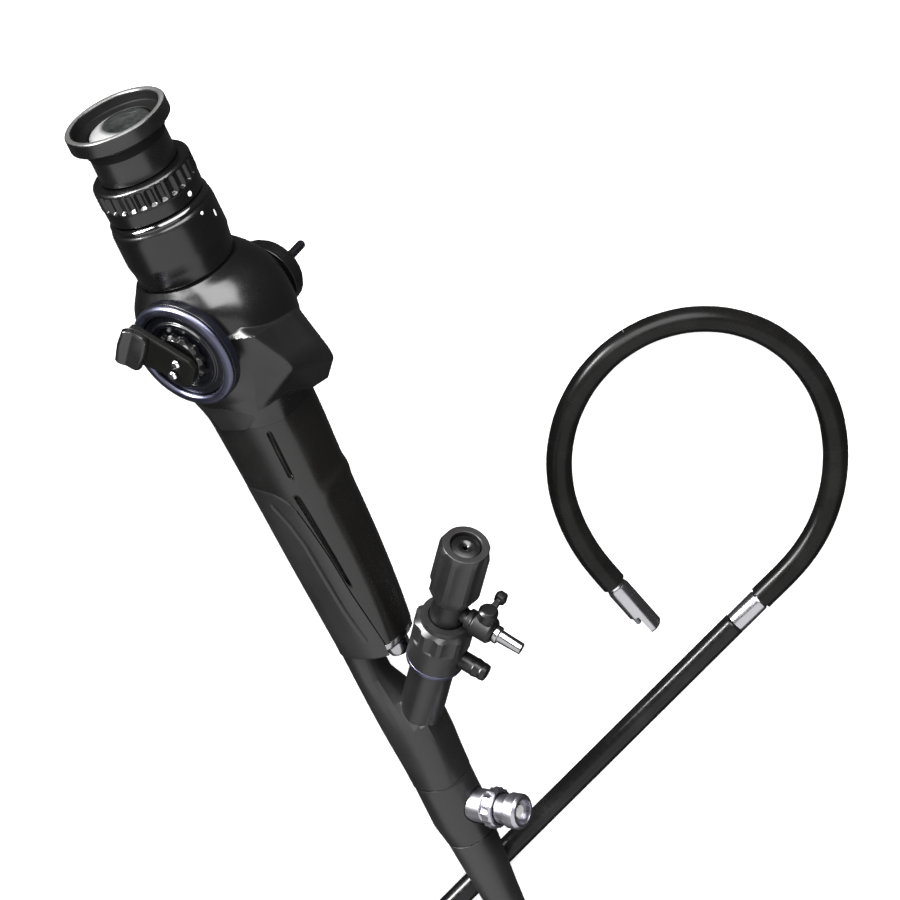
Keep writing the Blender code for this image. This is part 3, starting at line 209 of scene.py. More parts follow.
# %% A bench for mixing finishes
class Finish:
    """A material and the few things that every finish here is mixed from."""

    def __init__(self, name, **fixed):
        self.material = bpy.data.materials.new(name)
        self.material.use_nodes = True
        self.tree = self.material.node_tree
        self.shader = self.tree.nodes["Principled BSDF"]
        for socket, value in fixed.items():
            self.shader.inputs[socket.replace("_", " ")].default_value = value

    def node(self, kind, settings=None, sockets=None, out=0):
        made = self.tree.nodes.new("ShaderNode" + kind)
        for setting, value in (settings or {}).items():
            setattr(made, setting, value)
        for socket, value in (sockets or {}).items():
            self.feed(made.inputs[socket], value)
        return Wire(self, made.outputs[out])

    def feed(self, socket, value):
        if isinstance(value, Wire):
            self.tree.links.new(value.socket, socket)
        elif isinstance(value, tuple) and len(value) == 3 and socket.type == "RGBA":
            socket.default_value = (*value, 1.0)
        else:
            socket.default_value = value

    def place(self):
        """Object coordinates, in metres."""
        return self.node("TexCoord", out="Object")

    def noise(self, size, detail=3.0, rough=0.55):
        """Soft cloudy noise whose patches are about this size in metres."""
        sockets = {"Vector": self.place(), "Scale": 1.0 / size, "Detail": detail, "Roughness": rough}
        return self.node("TexNoise", {"noise_dimensions": "3D"}, sockets)

    def blend(self, low, high, share):
        """A colour between two others."""
        made = {"data_type": "RGBA", "blend_type": "MIX"}
        return self.node("Mix", made, {0: share, 6: low, 7: high}, out=2)

    def range(self, value, low, high, to_low, to_high):
        """A value moved from one range to another, and held inside it."""
        sockets = {0: value, 1: low, 2: high, 3: to_low, 4: to_high}
        return self.node("MapRange", {"clamp": True}, sockets)

    def bump(self, height, depth, strength):
        """Lets a height in the range 0 to 1 raise the surface by depth metres."""
        sockets = {"Height": height, "Distance": depth, "Strength": strength}
        normal = self.node("Bump", None, sockets)
        self.feed(self.shader.inputs["Normal"], normal)

    def use(self, **wires):
        for socket, value in wires.items():
            self.feed(self.shader.inputs[socket.replace("_", " ")], value)
        return self.material


print("bench: finishes ready")

# %% [markdown]
# Black moulded plastic is never one black. The real shell has a fine orange peel from its mould, a slow
# change of sheen where hands have polished it, and a trace of dust in the grain. Two sizes of noise give
# the sheen, and a finer one the peel. Gloss is how strongly a surface mirrors: the lever's arm has hardly
# any, and the lip of the eyepiece base has most.

# %% Black moulded plastic
def black_plastic(name, shade, sheen_low, sheen_high, peel=0.000004, gloss=0.5):
    finish = Finish(name, IOR=1.45, Specular_IOR_Level=gloss)
    hands = finish.noise(0.022)
    grain = finish.noise(0.0011, 4.0)
    peel_noise = finish.noise(0.0006, 2.0)
    dust = finish.range(grain, 0.60, 0.78, 0.0, 0.35)
    colour = finish.blend(shade, tuple(2.4 * v + 0.002 for v in shade), dust)
    sheen = finish.range(hands * 0.7 + grain * 0.3, 0.38, 0.62, sheen_low, sheen_high)
    finish.bump(peel_noise, peel, 0.6)
    return finish.use(Base_Color=colour, Roughness=sheen)


SHELL = black_plastic("head_shell", (0.0036, 0.0034, 0.0036), 0.20, 0.28)
PLATE_SHELL = black_plastic("plate_shell", (0.0040, 0.0042, 0.0070), 0.20, 0.30)
COLLAR = black_plastic("eyepiece_shell", (0.0032, 0.0030, 0.0030), 0.24, 0.29)
GRIP = black_plastic("grip_shell", (0.0042, 0.0038, 0.0036), 0.26, 0.36, 0.000008)
FITTING = black_plastic("black_fitting", (0.0040, 0.0040, 0.0042), 0.34, 0.44, gloss=0.35)
ARM_BLACK = black_plastic("lever_arm_skin", (0.0040, 0.0040, 0.0034), 0.36, 0.46, gloss=0.12)
LIP_GLOSS = black_plastic("base_lip_gloss", (0.0040, 0.0040, 0.0040), 0.08, 0.12, gloss=1.0)
print("black plastics:", SHELL.name, COLLAR.name, GRIP.name, FITTING.name)

# %% [markdown]
# The grip's side panel and the lower body are a warmer, duller grey-black. Their mould was etched, so light
# spreads over a fine grain and shows no sharp reflection.

# %% Etched grey plastic
def etched_plastic(name, shade, sheen_low, sheen_high):
    finish = Finish(name, IOR=1.45)
    slow = finish.noise(0.03)
    etch = finish.noise(0.00045, 3.0, 0.7)
    rubbed = finish.range(slow, 0.4, 0.65, 0.0, 1.0)
    colour = finish.blend(shade, tuple(1.35 * v for v in shade), etch)
    sheen = finish.range(rubbed * 0.8 + etch * 0.2, 0.1, 0.9, sheen_high, sheen_low)
    finish.bump(etch, 0.000012, 0.7)
    return finish.use(Base_Color=colour, Roughness=sheen)


PANEL = etched_plastic("grip_panel_grey", (0.0080, 0.0074, 0.0077), 0.30, 0.42)
PORT_GREY = etched_plastic("port_grey", (0.0100, 0.0092, 0.0096), 0.32, 0.44)
REST_SKIN = etched_plastic("finger_rest_skin", (0.0046, 0.0042, 0.0042), 0.34, 0.46)
print("etched plastics:", PANEL.name, PORT_GREY.name)

# %% [markdown]
# Rubber takes a soft bloom: its gloss is broad, a little uneven, and paler where it has been wiped. The
# eyecup, the pad of the lever, the boot and the cover of the bending section are all of it, and each has
# its own black.

# %% Black rubber
def rubber(name, shade, sheen_low, sheen_high, pore=0.000010, gloss=0.5):
    finish = Finish(name, IOR=1.5, Specular_IOR_Level=gloss)
    wiped = finish.noise(0.012)
    pores = finish.noise(0.00035, 3.0, 0.65)
    bloom = finish.range(wiped, 0.42, 0.70, 0.0, 0.5)
    colour = finish.blend(shade, tuple(1.8 * v + 0.002 for v in shade), bloom)
    sheen = finish.range(wiped * 0.6 + pores * 0.4, 0.35, 0.65, sheen_low, sheen_high)
    finish.bump(pores, pore, 0.5)
    return finish.use(Base_Color=colour, Roughness=sheen)


RUBBER = rubber("eyecup_rubber", (0.0036, 0.0034, 0.0034), 0.24, 0.34)
BOOT_RUBBER = rubber("boot_rubber", (0.0070, 0.0068, 0.0070), 0.40, 0.52)
COVER_RUBBER = rubber("bending_cover_rubber", (0.0050, 0.0048, 0.0046), 0.22, 0.32, 0.000006, 0.10)
print("rubbers:", RUBBER.name, BOOT_RUBBER.name, COVER_RUBBER.name)

# %% [markdown]
# Metal needs something uneven to be believed: faint wipe marks, patches of tarnish, and scratches too fine
# to see one by one. One recipe makes all the metals here, because they differ only in shade and in how far
# they blur what they mirror.

# %% Metals
SCRATCH = 0.0000015


def metal(name, shade, sheen_low, sheen_high):
    finish = Finish(name, Metallic=1.0)
    wipe = finish.noise(0.006, 4.0)
    fine = finish.noise(0.0004, 4.0, 0.7)
    tarnish = finish.range(wipe, 0.5, 0.75, 0.0, 0.3)
    colour = finish.blend(shade, tuple(0.75 * v for v in shade), tarnish)
    sheen = finish.range(wipe * 0.6 + fine * 0.4, 0.35, 0.65, sheen_low, sheen_high)
    finish.bump(fine, SCRATCH, 0.5)
    return finish.use(Base_Color=colour, Roughness=sheen)


CHROME = metal("bright_chrome", (0.78, 0.78, 0.79), 0.07, 0.16)
STEEL = metal("turned_steel", (0.62, 0.62, 0.63), 0.20, 0.32)
TIP_STEEL = metal("tip_steel", (0.36, 0.36, 0.38), 0.18, 0.28)
DARK_STEEL = metal("dark_steel", (0.13, 0.13, 0.15), 0.20, 0.32)
BLUE = metal("blue_anodised", (0.085, 0.086, 0.125), 0.26, 0.38)
LAVENDER = metal("satin_chrome", (0.34, 0.335, 0.37), 0.24, 0.36)
NOZZLE_STEEL = metal("nozzle_steel", (0.30, 0.30, 0.31), 0.16, 0.24)
print("metals:", CHROME.name, STEEL.name, TIP_STEEL.name, BLUE.name)

# %% [markdown]
# Glass shows as a dark, glossy bottom in the eyecup and as a spark in the tip. A coated dark surface says
# more than clear glass would. The eyepiece's lens carries a painted reflection: beyond a distance from a
# point beside the axis its colour turns pale, a painted crescent of light caught at the edge of the glass.

# %% Coated glass and paint
def coated_glass(name, shade, tint):
    finish = Finish(name, IOR=1.6, Coat_Weight=1.0, Coat_Roughness=0.03)
    haze = finish.noise(0.004)
    colour = finish.blend(shade, tint, finish.range(haze, 0.35, 0.7, 0.0, 1.0))
    return finish.use(Base_Color=colour, Roughness=finish.range(haze, 0.3, 0.7, 0.04, 0.10))


GLINT_FREE_MIDDLE = (2.4, 2.6, 69.5)
GLINT_FREE_REACH = 8.0 * MM
GLINT_FULL_REACH = 9.6 * MM


def ocular_glass():
    """Dark glass with a painted reflection: a pale crescent painted on one side of its edge."""
    finish = Finish("ocular_glass", IOR=1.6, Coat_Weight=1.0, Coat_Roughness=0.03)
    haze = finish.noise(0.004)
    cloud = finish.range(haze, 0.35, 0.7, 0.0, 1.0)
    clear = finish.blend((0.010, 0.011, 0.011), (0.050, 0.053, 0.053), cloud)
    middle = tuple(LONG @ (Vector(GLINT_FREE_MIDDLE) * MM))
    ends = {0: finish.place(), 1: middle}
    away = finish.node("VectorMath", {"operation": "DISTANCE"}, ends, out="Value")
    # Painted reflection: past this distance the colour turns pale, standing for light caught at the lens
    # edge.
    painted_glint = finish.range(away, GLINT_FREE_REACH, GLINT_FULL_REACH, 0.0, 1.0)
    colour = finish.blend(clear, (0.42, 0.42, 0.42), painted_glint)
    return finish.use(Base_Color=colour, Roughness=finish.range(painted_glint, 0.0, 1.0, 0.08, 0.45))


EYE_GLASS = ocular_glass()
WHITE_PAINT = etched_plastic("white_paint", (0.62, 0.62, 0.60), 0.40, 0.50)
WELL_BLACK = rubber("eyecup_well", (0.0026, 0.0025, 0.0025), 0.50, 0.62, gloss=0.10)
# Painted highlight: the top of the eyecup's lip is a pale grey rubber, standing for the light caught there.
LIP_PAINTED_HIGHLIGHT = rubber("eyecup_lip_painted_highlight", (0.085, 0.084, 0.082), 0.34, 0.46)
TIP_GLASS = coated_glass("tip_glass", (0.030, 0.034, 0.040), (0.060, 0.070, 0.085))
GUIDE_GLASS = coated_glass("light_guide_glass", (0.36, 0.37, 0.36), (0.55, 0.56, 0.53))
FIBRE = etched_plastic("fibre_bundle", (0.50, 0.46, 0.36), 0.30, 0.40)
print("glass:", EYE_GLASS.name, TIP_GLASS.name, GUIDE_GLASS.name)

# %% [markdown]
# The insertion tube is a coil and a woven wire net under a smooth skin. Through the skin the net shows as
# a fine crossing of ridges, which breaks the long highlight into specks. The tube's mesh carries how far
# along and how far round each point is, so the weave is two slanted waves of those, with no picture.

# %% Tube skin with its woven net
WEAVE_STEP = 0.0030
WEAVE_STRANDS = 4.0


def tube_skin(name, shade):
    finish = Finish(name, IOR=1.5, Specular_IOR_Level=0.15)
    along = finish.node("Attribute", {"attribute_name": "along"}, out="Fac")
    around = finish.node("Attribute", {"attribute_name": "around"}, out="Fac")
    waves = []
    for lean in (1.0, -1.0):
        phase = along * (2.0 * math.pi / WEAVE_STEP) + around * (2.0 * math.pi * WEAVE_STRANDS * lean)
        waves.append(finish.node("Math", {"operation": "SINE"}, {0: phase}))
    weave = finish.node("Math", {"operation": "MAXIMUM"}, {0: waves[0], 1: waves[1]})
    net = weave * 0.5 + 0.5
    wear = finish.noise(0.015)
    worn = finish.range(wear, 0.45, 0.7, 0.0, 0.8)
    colour = finish.blend(shade, tuple(1.9 * v + 0.003 for v in shade), worn)
    sheen = finish.range(wear * 0.7 + net * 0.3, 0.2, 0.8, 0.14, 0.30)
    finish.bump(net, 0.000012, 0.6)
    return finish.use(Base_Color=colour, Roughness=sheen)


TUBE = tube_skin("insertion_tube_skin", (0.0062, 0.0060, 0.0062))
print("tube skin:", TUBE.name)

# %% [markdown]
# CAD faces come as separate flat triangles. Three modifiers turn them into a finished surface, and leave
# the CAD mesh itself alone: a small node group merges the corners, drops the stored flat normals and
# shades smoothly; a bevel breaks every real edge by a few tenths of a millimetre, because light catches
# on a broken edge and never on a perfect one; and weighted normals keep large faces flat.

# %% Smooth skin for CAD pieces
def skin_group():
    group = bpy.data.node_groups.new("skin_smooth", "GeometryNodeTree")
    group.interface.new_socket("Geometry", in_out="INPUT", socket_type="NodeSocketGeometry")
    group.interface.new_socket("Geometry", in_out="OUTPUT", socket_type="NodeSocketGeometry")
    start = group.nodes.new("NodeGroupInput")
    merge = group.nodes.new("GeometryNodeMergeByDistance")
    merge.inputs["Distance"].default_value = 0.002 * MM
    drop = group.nodes.new("GeometryNodeRemoveAttribute")
    drop.inputs["Name"].default_value = "custom_normal"
    smooth = group.nodes.new("GeometryNodeSetShadeSmooth")
    finish = group.nodes.new("NodeGroupOutput")
    chain = (start, merge, drop, smooth, finish)
    for before, after in zip(chain, chain[1:]):
        group.links.new(before.outputs[0], after.inputs[0])
    return group


SKIN = skin_group()
EDGE_ANGLE = math.radians(32.0)


def add_skin(item, bevel):
    """Smooth, bevelled surface on one piece, by modifiers only."""
    skin = item.modifiers.new("skin", "NODES")
    skin.node_group = SKIN
    if bevel:
        edge = item.modifiers.new("edges", "BEVEL")
        edge.width = bevel * MM
        edge.segments = 2
        edge.limit_method = "ANGLE"
        edge.angle_limit = EDGE_ANGLE
    item.modifiers.new("normals", "WEIGHTED_NORMAL")


def dress(names, material, bevel):
    """Gives CAD nodes their finish and their skin."""
    for name in names.split():
        node = frame["nodes"][name]
        node.data.materials.clear()
        node.data.materials.append(material)
        add_skin(node, bevel)
    print("dressed:", names)


print("skin:", len(SKIN.nodes), "nodes, edges from", round(math.degrees(EDGE_ANGLE)), "degrees on")

# %% [markdown]
# The insertion tube is the cord. It leaves the boot at the foot of the grip, turns back in one loose loop
# and lies straight on the table. The points are its centre line in millimetres, as the CAD has it. A spline
# through them gives rings for the mesh, and each ring keeps its distance along the tube for the weave.

# %% Sweeping a tube along a line
ROUTE = (
    (0.00, -202.87, 15.28), (0.00, -232.35, 14.20), (0.00, -261.83, 13.12), (0.00, -269.20, 12.85),
    (0.00, -276.58, 12.58), (0.00, -283.95, 12.58), (-0.58, -290.91, 12.33), (-2.30, -297.68, 11.66),
    (-5.13, -304.07, 10.67), (-8.97, -309.90, 9.47), (-13.73, -315.01, 8.17), (-19.26, -319.27, 6.86),
    (-25.43, -322.55, 5.66), (-32.06, -324.76, 4.67), (-38.95, -325.84, 4.00), (-45.94, -325.77, 3.75),
    (-52.81, -324.54, 3.75), (-59.39, -322.18, 3.75), (-65.48, -318.77, 3.75), (-70.93, -314.40, 3.75),
    (-75.57, -309.19, 3.75), (-79.29, -303.27, 3.75), (-81.98, -296.83, 3.75), (-83.56, -290.02, 3.75),
    (-83.99, -283.05, 3.75), (-83.26, -276.11, 3.75), (-81.39, -269.38, 3.75), (-78.43, -263.05, 3.75),
    (-74.46, -257.30, 3.75), (-69.59, -252.29, 3.75), (-63.97, -248.16, 3.75), (-57.73, -245.01, 3.75),
    (-41.50, -238.45, 3.75), (-9.02, -225.33, 3.75), (23.45, -212.21, 3.75), (55.92, -199.10, 3.75),
    (88.39, -185.98, 3.75), (104.62, -179.42, 3.75),
)


def curve(a, b, lead, trail, parts):
    """Points on a curve from a to b, without b; lead and trail are its pulls at the two ends."""
    line = []
    for part in range(parts):
        t = part / parts
        s = 1.0 - t
        first, second = a + lead, b - trail
        line.append(a * s ** 3 + first * (3 * s * s * t) + second * (3 * s * t * t) + b * t ** 3)
    return line


def smooth_line(points, step):
    """Points on a smooth curve through the given ones, about a step apart."""
    spots = [Vector(p) for p in points]
    line = []
    for index in range(len(spots) - 1):
        before = spots[max(index - 1, 0)]
        a, b = spots[index], spots[index + 1]
        after = spots[min(index + 2, len(spots) - 1)]
        pull = (b - a).length * 0.5
        lead = (b - before).normalized() * pull * (2.0 / 3.0)
        trail = (after - a).normalized() * pull * (2.0 / 3.0)
        line += curve(a, b, lead, trail, max(1, round((b - a).length / step)))
    line.append(spots[-1])
    return line


def sweep(name, line, radius, sides, begin=0.0, caps=True):
    """Round tube along a line, with how far along and around each point is."""
    points = []
    along = []
    around = []
    travel = begin
    for index, place in enumerate(line):
        ahead = line[min(index + 1, len(line) - 1)] - line[max(index - 1, 0)]
        way = ahead.normalized()
        flat = Vector((-way.y, way.x, 0.0)).normalized()
        rise = way.cross(flat)
        if index:
            travel += (place - line[index - 1]).length
        for side in range(sides):
            angle = 2.0 * math.pi * side / sides
            points.append(place + (flat * math.cos(angle) + rise * math.sin(angle)) * radius)
            along.append(travel)
            around.append(side / sides)
    faces = []
    for ring in range(len(line) - 1):
        for side in range(sides):
            a = ring * sides + side
            b = ring * sides + (side + 1) % sides
            faces.append((a, a + sides, b + sides, b))
    if caps:
        faces.append(tuple(range(sides)))
        faces.append(tuple(reversed(range((len(line) - 1) * sides, len(line) * sides))))
    mesh = bpy.data.meshes.new(name)
    mesh.from_pydata(points, [], faces)
    for title, values in (("along", along), ("around", around)):
        layer = mesh.attributes.new(title, "FLOAT", "POINT")
        layer.data.foreach_set("value", values)
    for face in mesh.polygons:
        face.use_smooth = len(face.vertices) == 4
    item = bpy.data.objects.new(name, mesh)
    bpy.context.scene.collection.objects.link(item)
    return item, travel


TUBE_RADIUS = 3.75 * MM
route = [on_table(*p) for p in smooth_line(ROUTE, 1.0)]
tube, tube_length = sweep("tube_skin", route, TUBE_RADIUS, 32)
tube.data.materials.append(TUBE)
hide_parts("insertion_tube")
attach(tube, "control")
print("tube:", round(tube_length, 4), "m,", len(tube.data.polygons), "faces")

# %% [markdown]
# The bending section is where the skill is. Nineteen steel rings sit inside a rubber cover, and turn on
# each other as the lever is pushed. The cover is made as eighteen short sleeves, one for each hinge, which
# meet in the middle of the rings. A sleeve bends between its two rings, and its ends move with them, so the
# cover stays whole in every pose.

# %% Rubber cover of the bending section
COVER_RADIUS = 4.05 * MM
COVER_SIDES = 32
COVER_BEFORE = 18.2
COVER_AFTER = 11.4
RING_REACH = 5.2
SLEEVE_PULL = 0.36
SLEEVE_STEP = 0.8 * MM
TUBE_HEADING = 22.0
hinges = [Vector(JOINTS["bend_%02d_hinge" % number]["pos_m"]) for number in range(1, 19)]
BEND_ANGLES = (
    15.1, 14.1, 13.1, 12.1, 13.2, 14.2, 15.3, 16.4, 16.7,
    17.1, 17.4, 17.7, 16.7, 15.7, 14.7, 13.7, 10.1, 9.7,
)
headings = [TUBE_HEADING]
for angle in BEND_ANGLES:
    headings.append(headings[-1] + angle)


def heading_way(degrees):
    """Level direction at an angle from +X."""
    return Vector((math.cos(math.radians(degrees)), math.sin(math.radians(degrees)), 0.0))


cover_start = hinges[0] - heading_way(TUBE_HEADING) * COVER_BEFORE * MM
cover_end = hinges[-1] + heading_way(headings[-1]) * COVER_AFTER * MM
starts = [cover_start] + [(a + b) / 2.0 for a, b in zip(hinges, hinges[1:])]
ends = starts[1:] + [cover_end]
travel = 0.0
for number, hinge in enumerate(hinges):
    start_way = heading_way(headings[number])
    end_way = heading_way(headings[number + 1])
    length = (ends[number] - starts[number]).length
    pull = length * SLEEVE_PULL
    parts = max(12, round(length / SLEEVE_STEP))
    line = curve(starts[number], ends[number], start_way * pull, end_way * pull, parts) + [ends[number]]
    name = "cover_sleeve_%02d" % (number + 1)
    sleeve, travel = sweep(name, line, COVER_RADIUS, COVER_SIDES, travel, caps=False)
    sleeve.data.materials.append(COVER_RUBBER)
    before = "control" if number == 0 else "bend_%02d" % number
    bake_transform(sleeve, before, "bend_%02d" % (number + 1),
             hinge - start_way * RING_REACH * MM, hinge + end_way * RING_REACH * MM)
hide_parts("bending_cover")

# %% [markdown]
# The far end of the cord is a tool: the ring, the cover and the steel tip.

# %% [markdown]
# Pieces that the eye stops at get a mesh of their own in place of the CAD's plain one. Most are turned: a
# profile of reach and height, with rounded corners, is spun on an axis.

# %% Turned pieces
def solid(name, points, faces, sharp=35.0):
    """Object from points and faces, shaded smooth but for its sharp edges."""
    mesh = bpy.data.meshes.new(name)
    mesh.from_pydata(points, [], faces)
    mesh.shade_smooth()
    mesh.set_sharp_from_angle(angle=math.radians(sharp))
    item = bpy.data.objects.new(name, mesh)
    bpy.context.scene.collection.objects.link(item)
    return item


def stack(rows):
    """All rows of places in one list, and each row's numbers in it."""
    points = []
    rings = []
    for row in rows:
        rings.append(list(range(len(points), len(points) + len(row))))
        points += row
    return points, rings


def join_rings(rings):
    """Faces between rings of point numbers; a ring of one point is a pole."""
    faces = []
    sides = max(len(ring) for ring in rings)
    for low, high in zip(rings, rings[1:]):
        for side in range(sides):
            after = (side + 1) % sides
            corners = [low[side % len(low)], low[after % len(low)]]
            corners += [high[after % len(high)], high[side % len(high)]]
            faces.append(tuple(dict.fromkeys(corners)))
    return faces


def soften(profile, radius, closed):
    """Profile in millimetres with each corner rounded by a short curve."""
    soft = []
    count = len(profile)
    for index, corner in enumerate(profile):
        corner = Vector(corner)
        if not closed and index in (0, count - 1):
            soft.append(corner)
            continue
        before = Vector(profile[index - 1]) - corner
        after = Vector(profile[(index + 1) % count]) - corner
        first = corner + before.normalized() * min(radius, before.length * 0.45)
        last = corner + after.normalized() * min(radius, after.length * 0.45)
        for t in (0.0, 0.33, 0.67, 1.0):
            soft.append(first * (1.0 - t) ** 2 + corner * (2.0 * t * (1.0 - t)) + last * t ** 2)
    return soft


def turned(name, place, profile, radius, sides=96, flute=None):
    """Piece spun on the Z axis of a matrix; flute says how deep it is cut at an angle and a height."""
    around = list(zip(profile, profile[1:] + profile[:1]))
    if sum(a[0] * b[1] - b[0] * a[1] for a, b in around) < 0.0:
        profile = profile[::-1]
    closed = profile[0][0] > 0.0
    rows = []
    for reach, height in soften(profile, radius, closed):
        row = []
        count = sides if reach > 1e-6 else 1
        for side in range(count):
            angle = 2.0 * math.pi * side / count
            size = reach - (flute(angle, height) if flute and reach else 0.0)
            row.append(place @ (Vector((size * math.cos(angle), size * math.sin(angle), height)) * MM))
        rows.append(row)
    points, rings = stack(rows)
    if closed:
        rings.append(rings[0])
    return solid(name, points, join_rings(rings))


def stands_for(item, node, *materials):
    """The piece takes the place of a CAD node and moves with its body."""
    for material in materials:
        item.data.materials.append(material)
    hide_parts(node)
    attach(item, body_of(frame["nodes"][node])[0])
    print(item.name, "stands for", node, "with", len(item.data.polygons), "faces")


print("lathe ready")

# %% [markdown]
# The eyepiece is turned. The eyecup is a soft flange with a thin lip and a shallow, dark well around the
# lens; the top of the lip is painted pale grey, a painted highlight. Which of its three rubbers a face has
# depends on its height and on its distance from the axis.

# %% Eyecup and lens
WELL_FLOOR = 62.0
WELL_REACH = 14.0
# Height above which the lip is painted pale, as a painted highlight.
PAINTED_HIGHLIGHT_FROM = 72.1
eyecup_profile = [
    (12.1, 54.6), (12.1, 63.2), (13.6, 66.0), (16.0, 67.6), (16.0, 71.8), (15.5, 72.4), (14.5, 72.4),
    (13.9, 71.8), (13.6, 68.9), (10.3, 68.6), (10.2, 64.4), (9.0, 62.4), (9.0, 41.0), (11.4, 41.0),
    (11.4, 54.6),
]
eyecup = turned("eyecup_skin", LONG, eyecup_profile, 0.35, 128)
stands_for(eyecup, "eyecup", RUBBER, WELL_BLACK, LIP_PAINTED_HIGHLIGHT)
from_axis = LONG.inverted()
for face in eyecup.data.polygons:
    place = from_axis @ face.center / MM
    if place.z > WELL_FLOOR and place.xy.length < WELL_REACH:
        face.material_index = 1
    # Faces on the top of the lip take the pale rubber, a painted highlight.
    elif place.z > PAINTED_HIGHLIGHT_FROM:
        face.material_index = 2
lens_profile = [(0.0, 66.0), (9.9, 66.0), (9.9, 68.4), (8.2, 69.3), (4.6, 70.0), (0.0, 70.3)]
lens = turned("ocular_lens_skin", LONG, lens_profile, 0.9)
stands_for(lens, "ocular_lens", EYE_GLASS)

# %% [markdown]
# The focus ring has ribs over a plain band: a cosine cuts valleys one millimetre deep, which fade out at
# both ends. The base ends in a fine, glossy lip, where the light draws one thin white arc.

# %% Focus ring and eyepiece base
RIBS = 28
RIB_LOW = 47.4
RIB_HIGH = 53.4
RIB_FADE = 0.8
LIP_FROM = 40.2


def rib_flute(angle, height):
    """Depth of the valleys between the ribs of the focus ring."""
    wave = 0.5 - 0.5 * math.cos(angle * RIBS)
    rise = min(max((height - RIB_LOW) / RIB_FADE, 0.0), 1.0)
    fall = min(max((RIB_HIGH - height) / RIB_FADE, 0.0), 1.0)
    return rise * fall * min(1.0, 1.4 * wave)


ring_profile = [
    (11.8, 42.3), (14.6, 42.3), (15.0, 42.8), (15.1, 46.6), (14.9, 47.0), (15.4, 47.4), (15.4, 48.4),
    (15.4, 50.4), (15.4, 52.4), (15.4, 53.4), (14.8, 54.3), (11.8, 54.3),
]
stands_for(turned("dioptre_ring_skin", LONG, ring_profile, 0.5, RIBS * 12, rib_flute), "dioptre_ring", COLLAR)
base_profile = [
    (12.0, 41.9), (14.7, 41.9), (15.6, 41.0), (15.7, 40.4), (15.3, 39.9), (16.0, 38.9), (16.2, 37.4),
    (16.2, 27.7), (15.5, 24.3), (15.3, 20.3), (11.6, 20.3), (11.6, 15.5), (9.5, 15.5), (9.5, 40.3),
    (12.0, 40.3),
]
base = turned("eyepiece_base_skin", LONG, base_profile, 0.6, 128)
stands_for(base, "eyepiece_base", COLLAR, LIP_GLOSS)
for face in base.data.polygons:
    if (from_axis @ face.center).z > LIP_FROM * MM:
        face.material_index = 1

# %% [markdown]
# Painted marks show where the focus stands: a dot on the ring, and a dot and a dash on the base. Each is a
# small turned drop, stretched to its size, and rides on the piece it is painted on.

# %% Painted marks
DROP = [(0.0, -0.3), (0.5, -0.3), (0.5, 0.04), (0.0, 0.10)]


def mark(name, angle, along, reach, wide, tall, node):
    """Small painted spot on a round piece, as a low raised oval."""
    toward = math.radians(angle)
    out = FRONT_WAY * math.cos(toward) + LEVER_WAY * math.sin(toward)
    place = frame_on(LONG_ZERO + LONG_WAY * along * MM + out * reach * MM, out, LONG_WAY)
    item = turned(name, place @ Matrix.Diagonal((tall, wide, 1.0, 1.0)), DROP, 0.03, 24)
    item.data.materials.append(WHITE_PAINT)
    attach(item, body_of(frame["nodes"][node])[0])
    print(name, "rides on", node)


mark("focus_dot", 2.0, 44.6, 15.05, 1.6, 1.6, "dioptre_ring")
mark("base_dot", 2.0, 37.8, 16.15, 1.1, 1.1, "eyepiece_base")
mark("base_dash", -17.0, 34.4, 16.15, 1.0, 2.6, "eyepiece_base")

# %% [markdown]
# The head is the sculpted piece: a glossy dome, and a matte finger rest that stands out of its front like a
# nose. Each point of it lies at some reach from the long axis. The dome's reach is a squarish oval that
# swells and narrows along the axis. A row gives a station on the axis and the reach to the back, the front,
# the far side and the lever's side; a smooth curve runs through the rows.

# %% Shape of the dome
DOME = (
    (-31.0, 13.2, 17.8, 13.2, 13.2), (-28.0, 13.4, 18.4, 13.8, 13.8), (-23.0, 14.2, 20.0, 15.4, 15.4),
    (-16.0, 16.8, 22.6, 17.6, 17.6), (-10.0, 18.8, 24.4, 19.0, 19.2), (-5.0, 20.2, 25.4, 20.4, 20.0),
    (0.0, 21.2, 25.8, 21.2, 20.2), (7.0, 20.8, 25.2, 21.0, 20.2), (13.0, 19.2, 22.6, 20.0, 19.2),
    (17.5, 16.9, 18.8, 17.6, 16.9), (20.0, 15.6, 15.6, 15.6, 15.6),
)


def along_rows(rows, column, station):
    """Value of a column at a station, on a smooth curve through the rows."""
    index = 0
    while index < len(rows) - 2 and rows[index + 1][0] < station:
        index += 1
    a, b = rows[index], rows[index + 1]
    before = rows[max(index - 1, 0)]
    after = rows[min(index + 2, len(rows) - 1)]
    span = b[0] - a[0]
    t = min(max((station - a[0]) / span, 0.0), 1.0)
    lean_a = (b[column] - before[column]) / (b[0] - before[0]) * span
    lean_b = (after[column] - a[column]) / (after[0] - a[0]) * span
    cube, square = t ** 3, t ** 2
    return (a[column] * (2 * cube - 3 * square + 1) + lean_a * (cube - 2 * square + t)
            + b[column] * (3 * square - 2 * cube) + lean_b * (cube - square))


def oval(angle, back_reach, front_reach, low_reach, high_reach, power):
    """Reach of a squarish oval at an angle from the front toward the lever."""
    x, y = math.cos(angle), math.sin(angle)
    flat = abs(x) / (front_reach if x > 0.0 else back_reach)
    tall = abs(y) / (high_reach if y > 0.0 else low_reach)
    return (flat ** power + tall ** power) ** (-1.0 / power)


def dome_reach(angle, station):
    """Reach of the dome, which grows a little squarer toward the grip."""
    sizes = [along_rows(DOME, column, station) for column in (1, 2, 3, 4)]
    return oval(angle, *sizes, 2.45 + 0.05 * min(max(-20.0 - station, 0.0), 11.0))


print("dome: reaches", round(dome_reach(0.0, 0.0), 1), "mm to the front")

# %% [markdown]
# The finger rest is cut from flat planes, and a plane's reach is a short sum. The rest is the nearest of
# the planes, the head is the further of rest and dome, and a small blend keeps every crease soft.

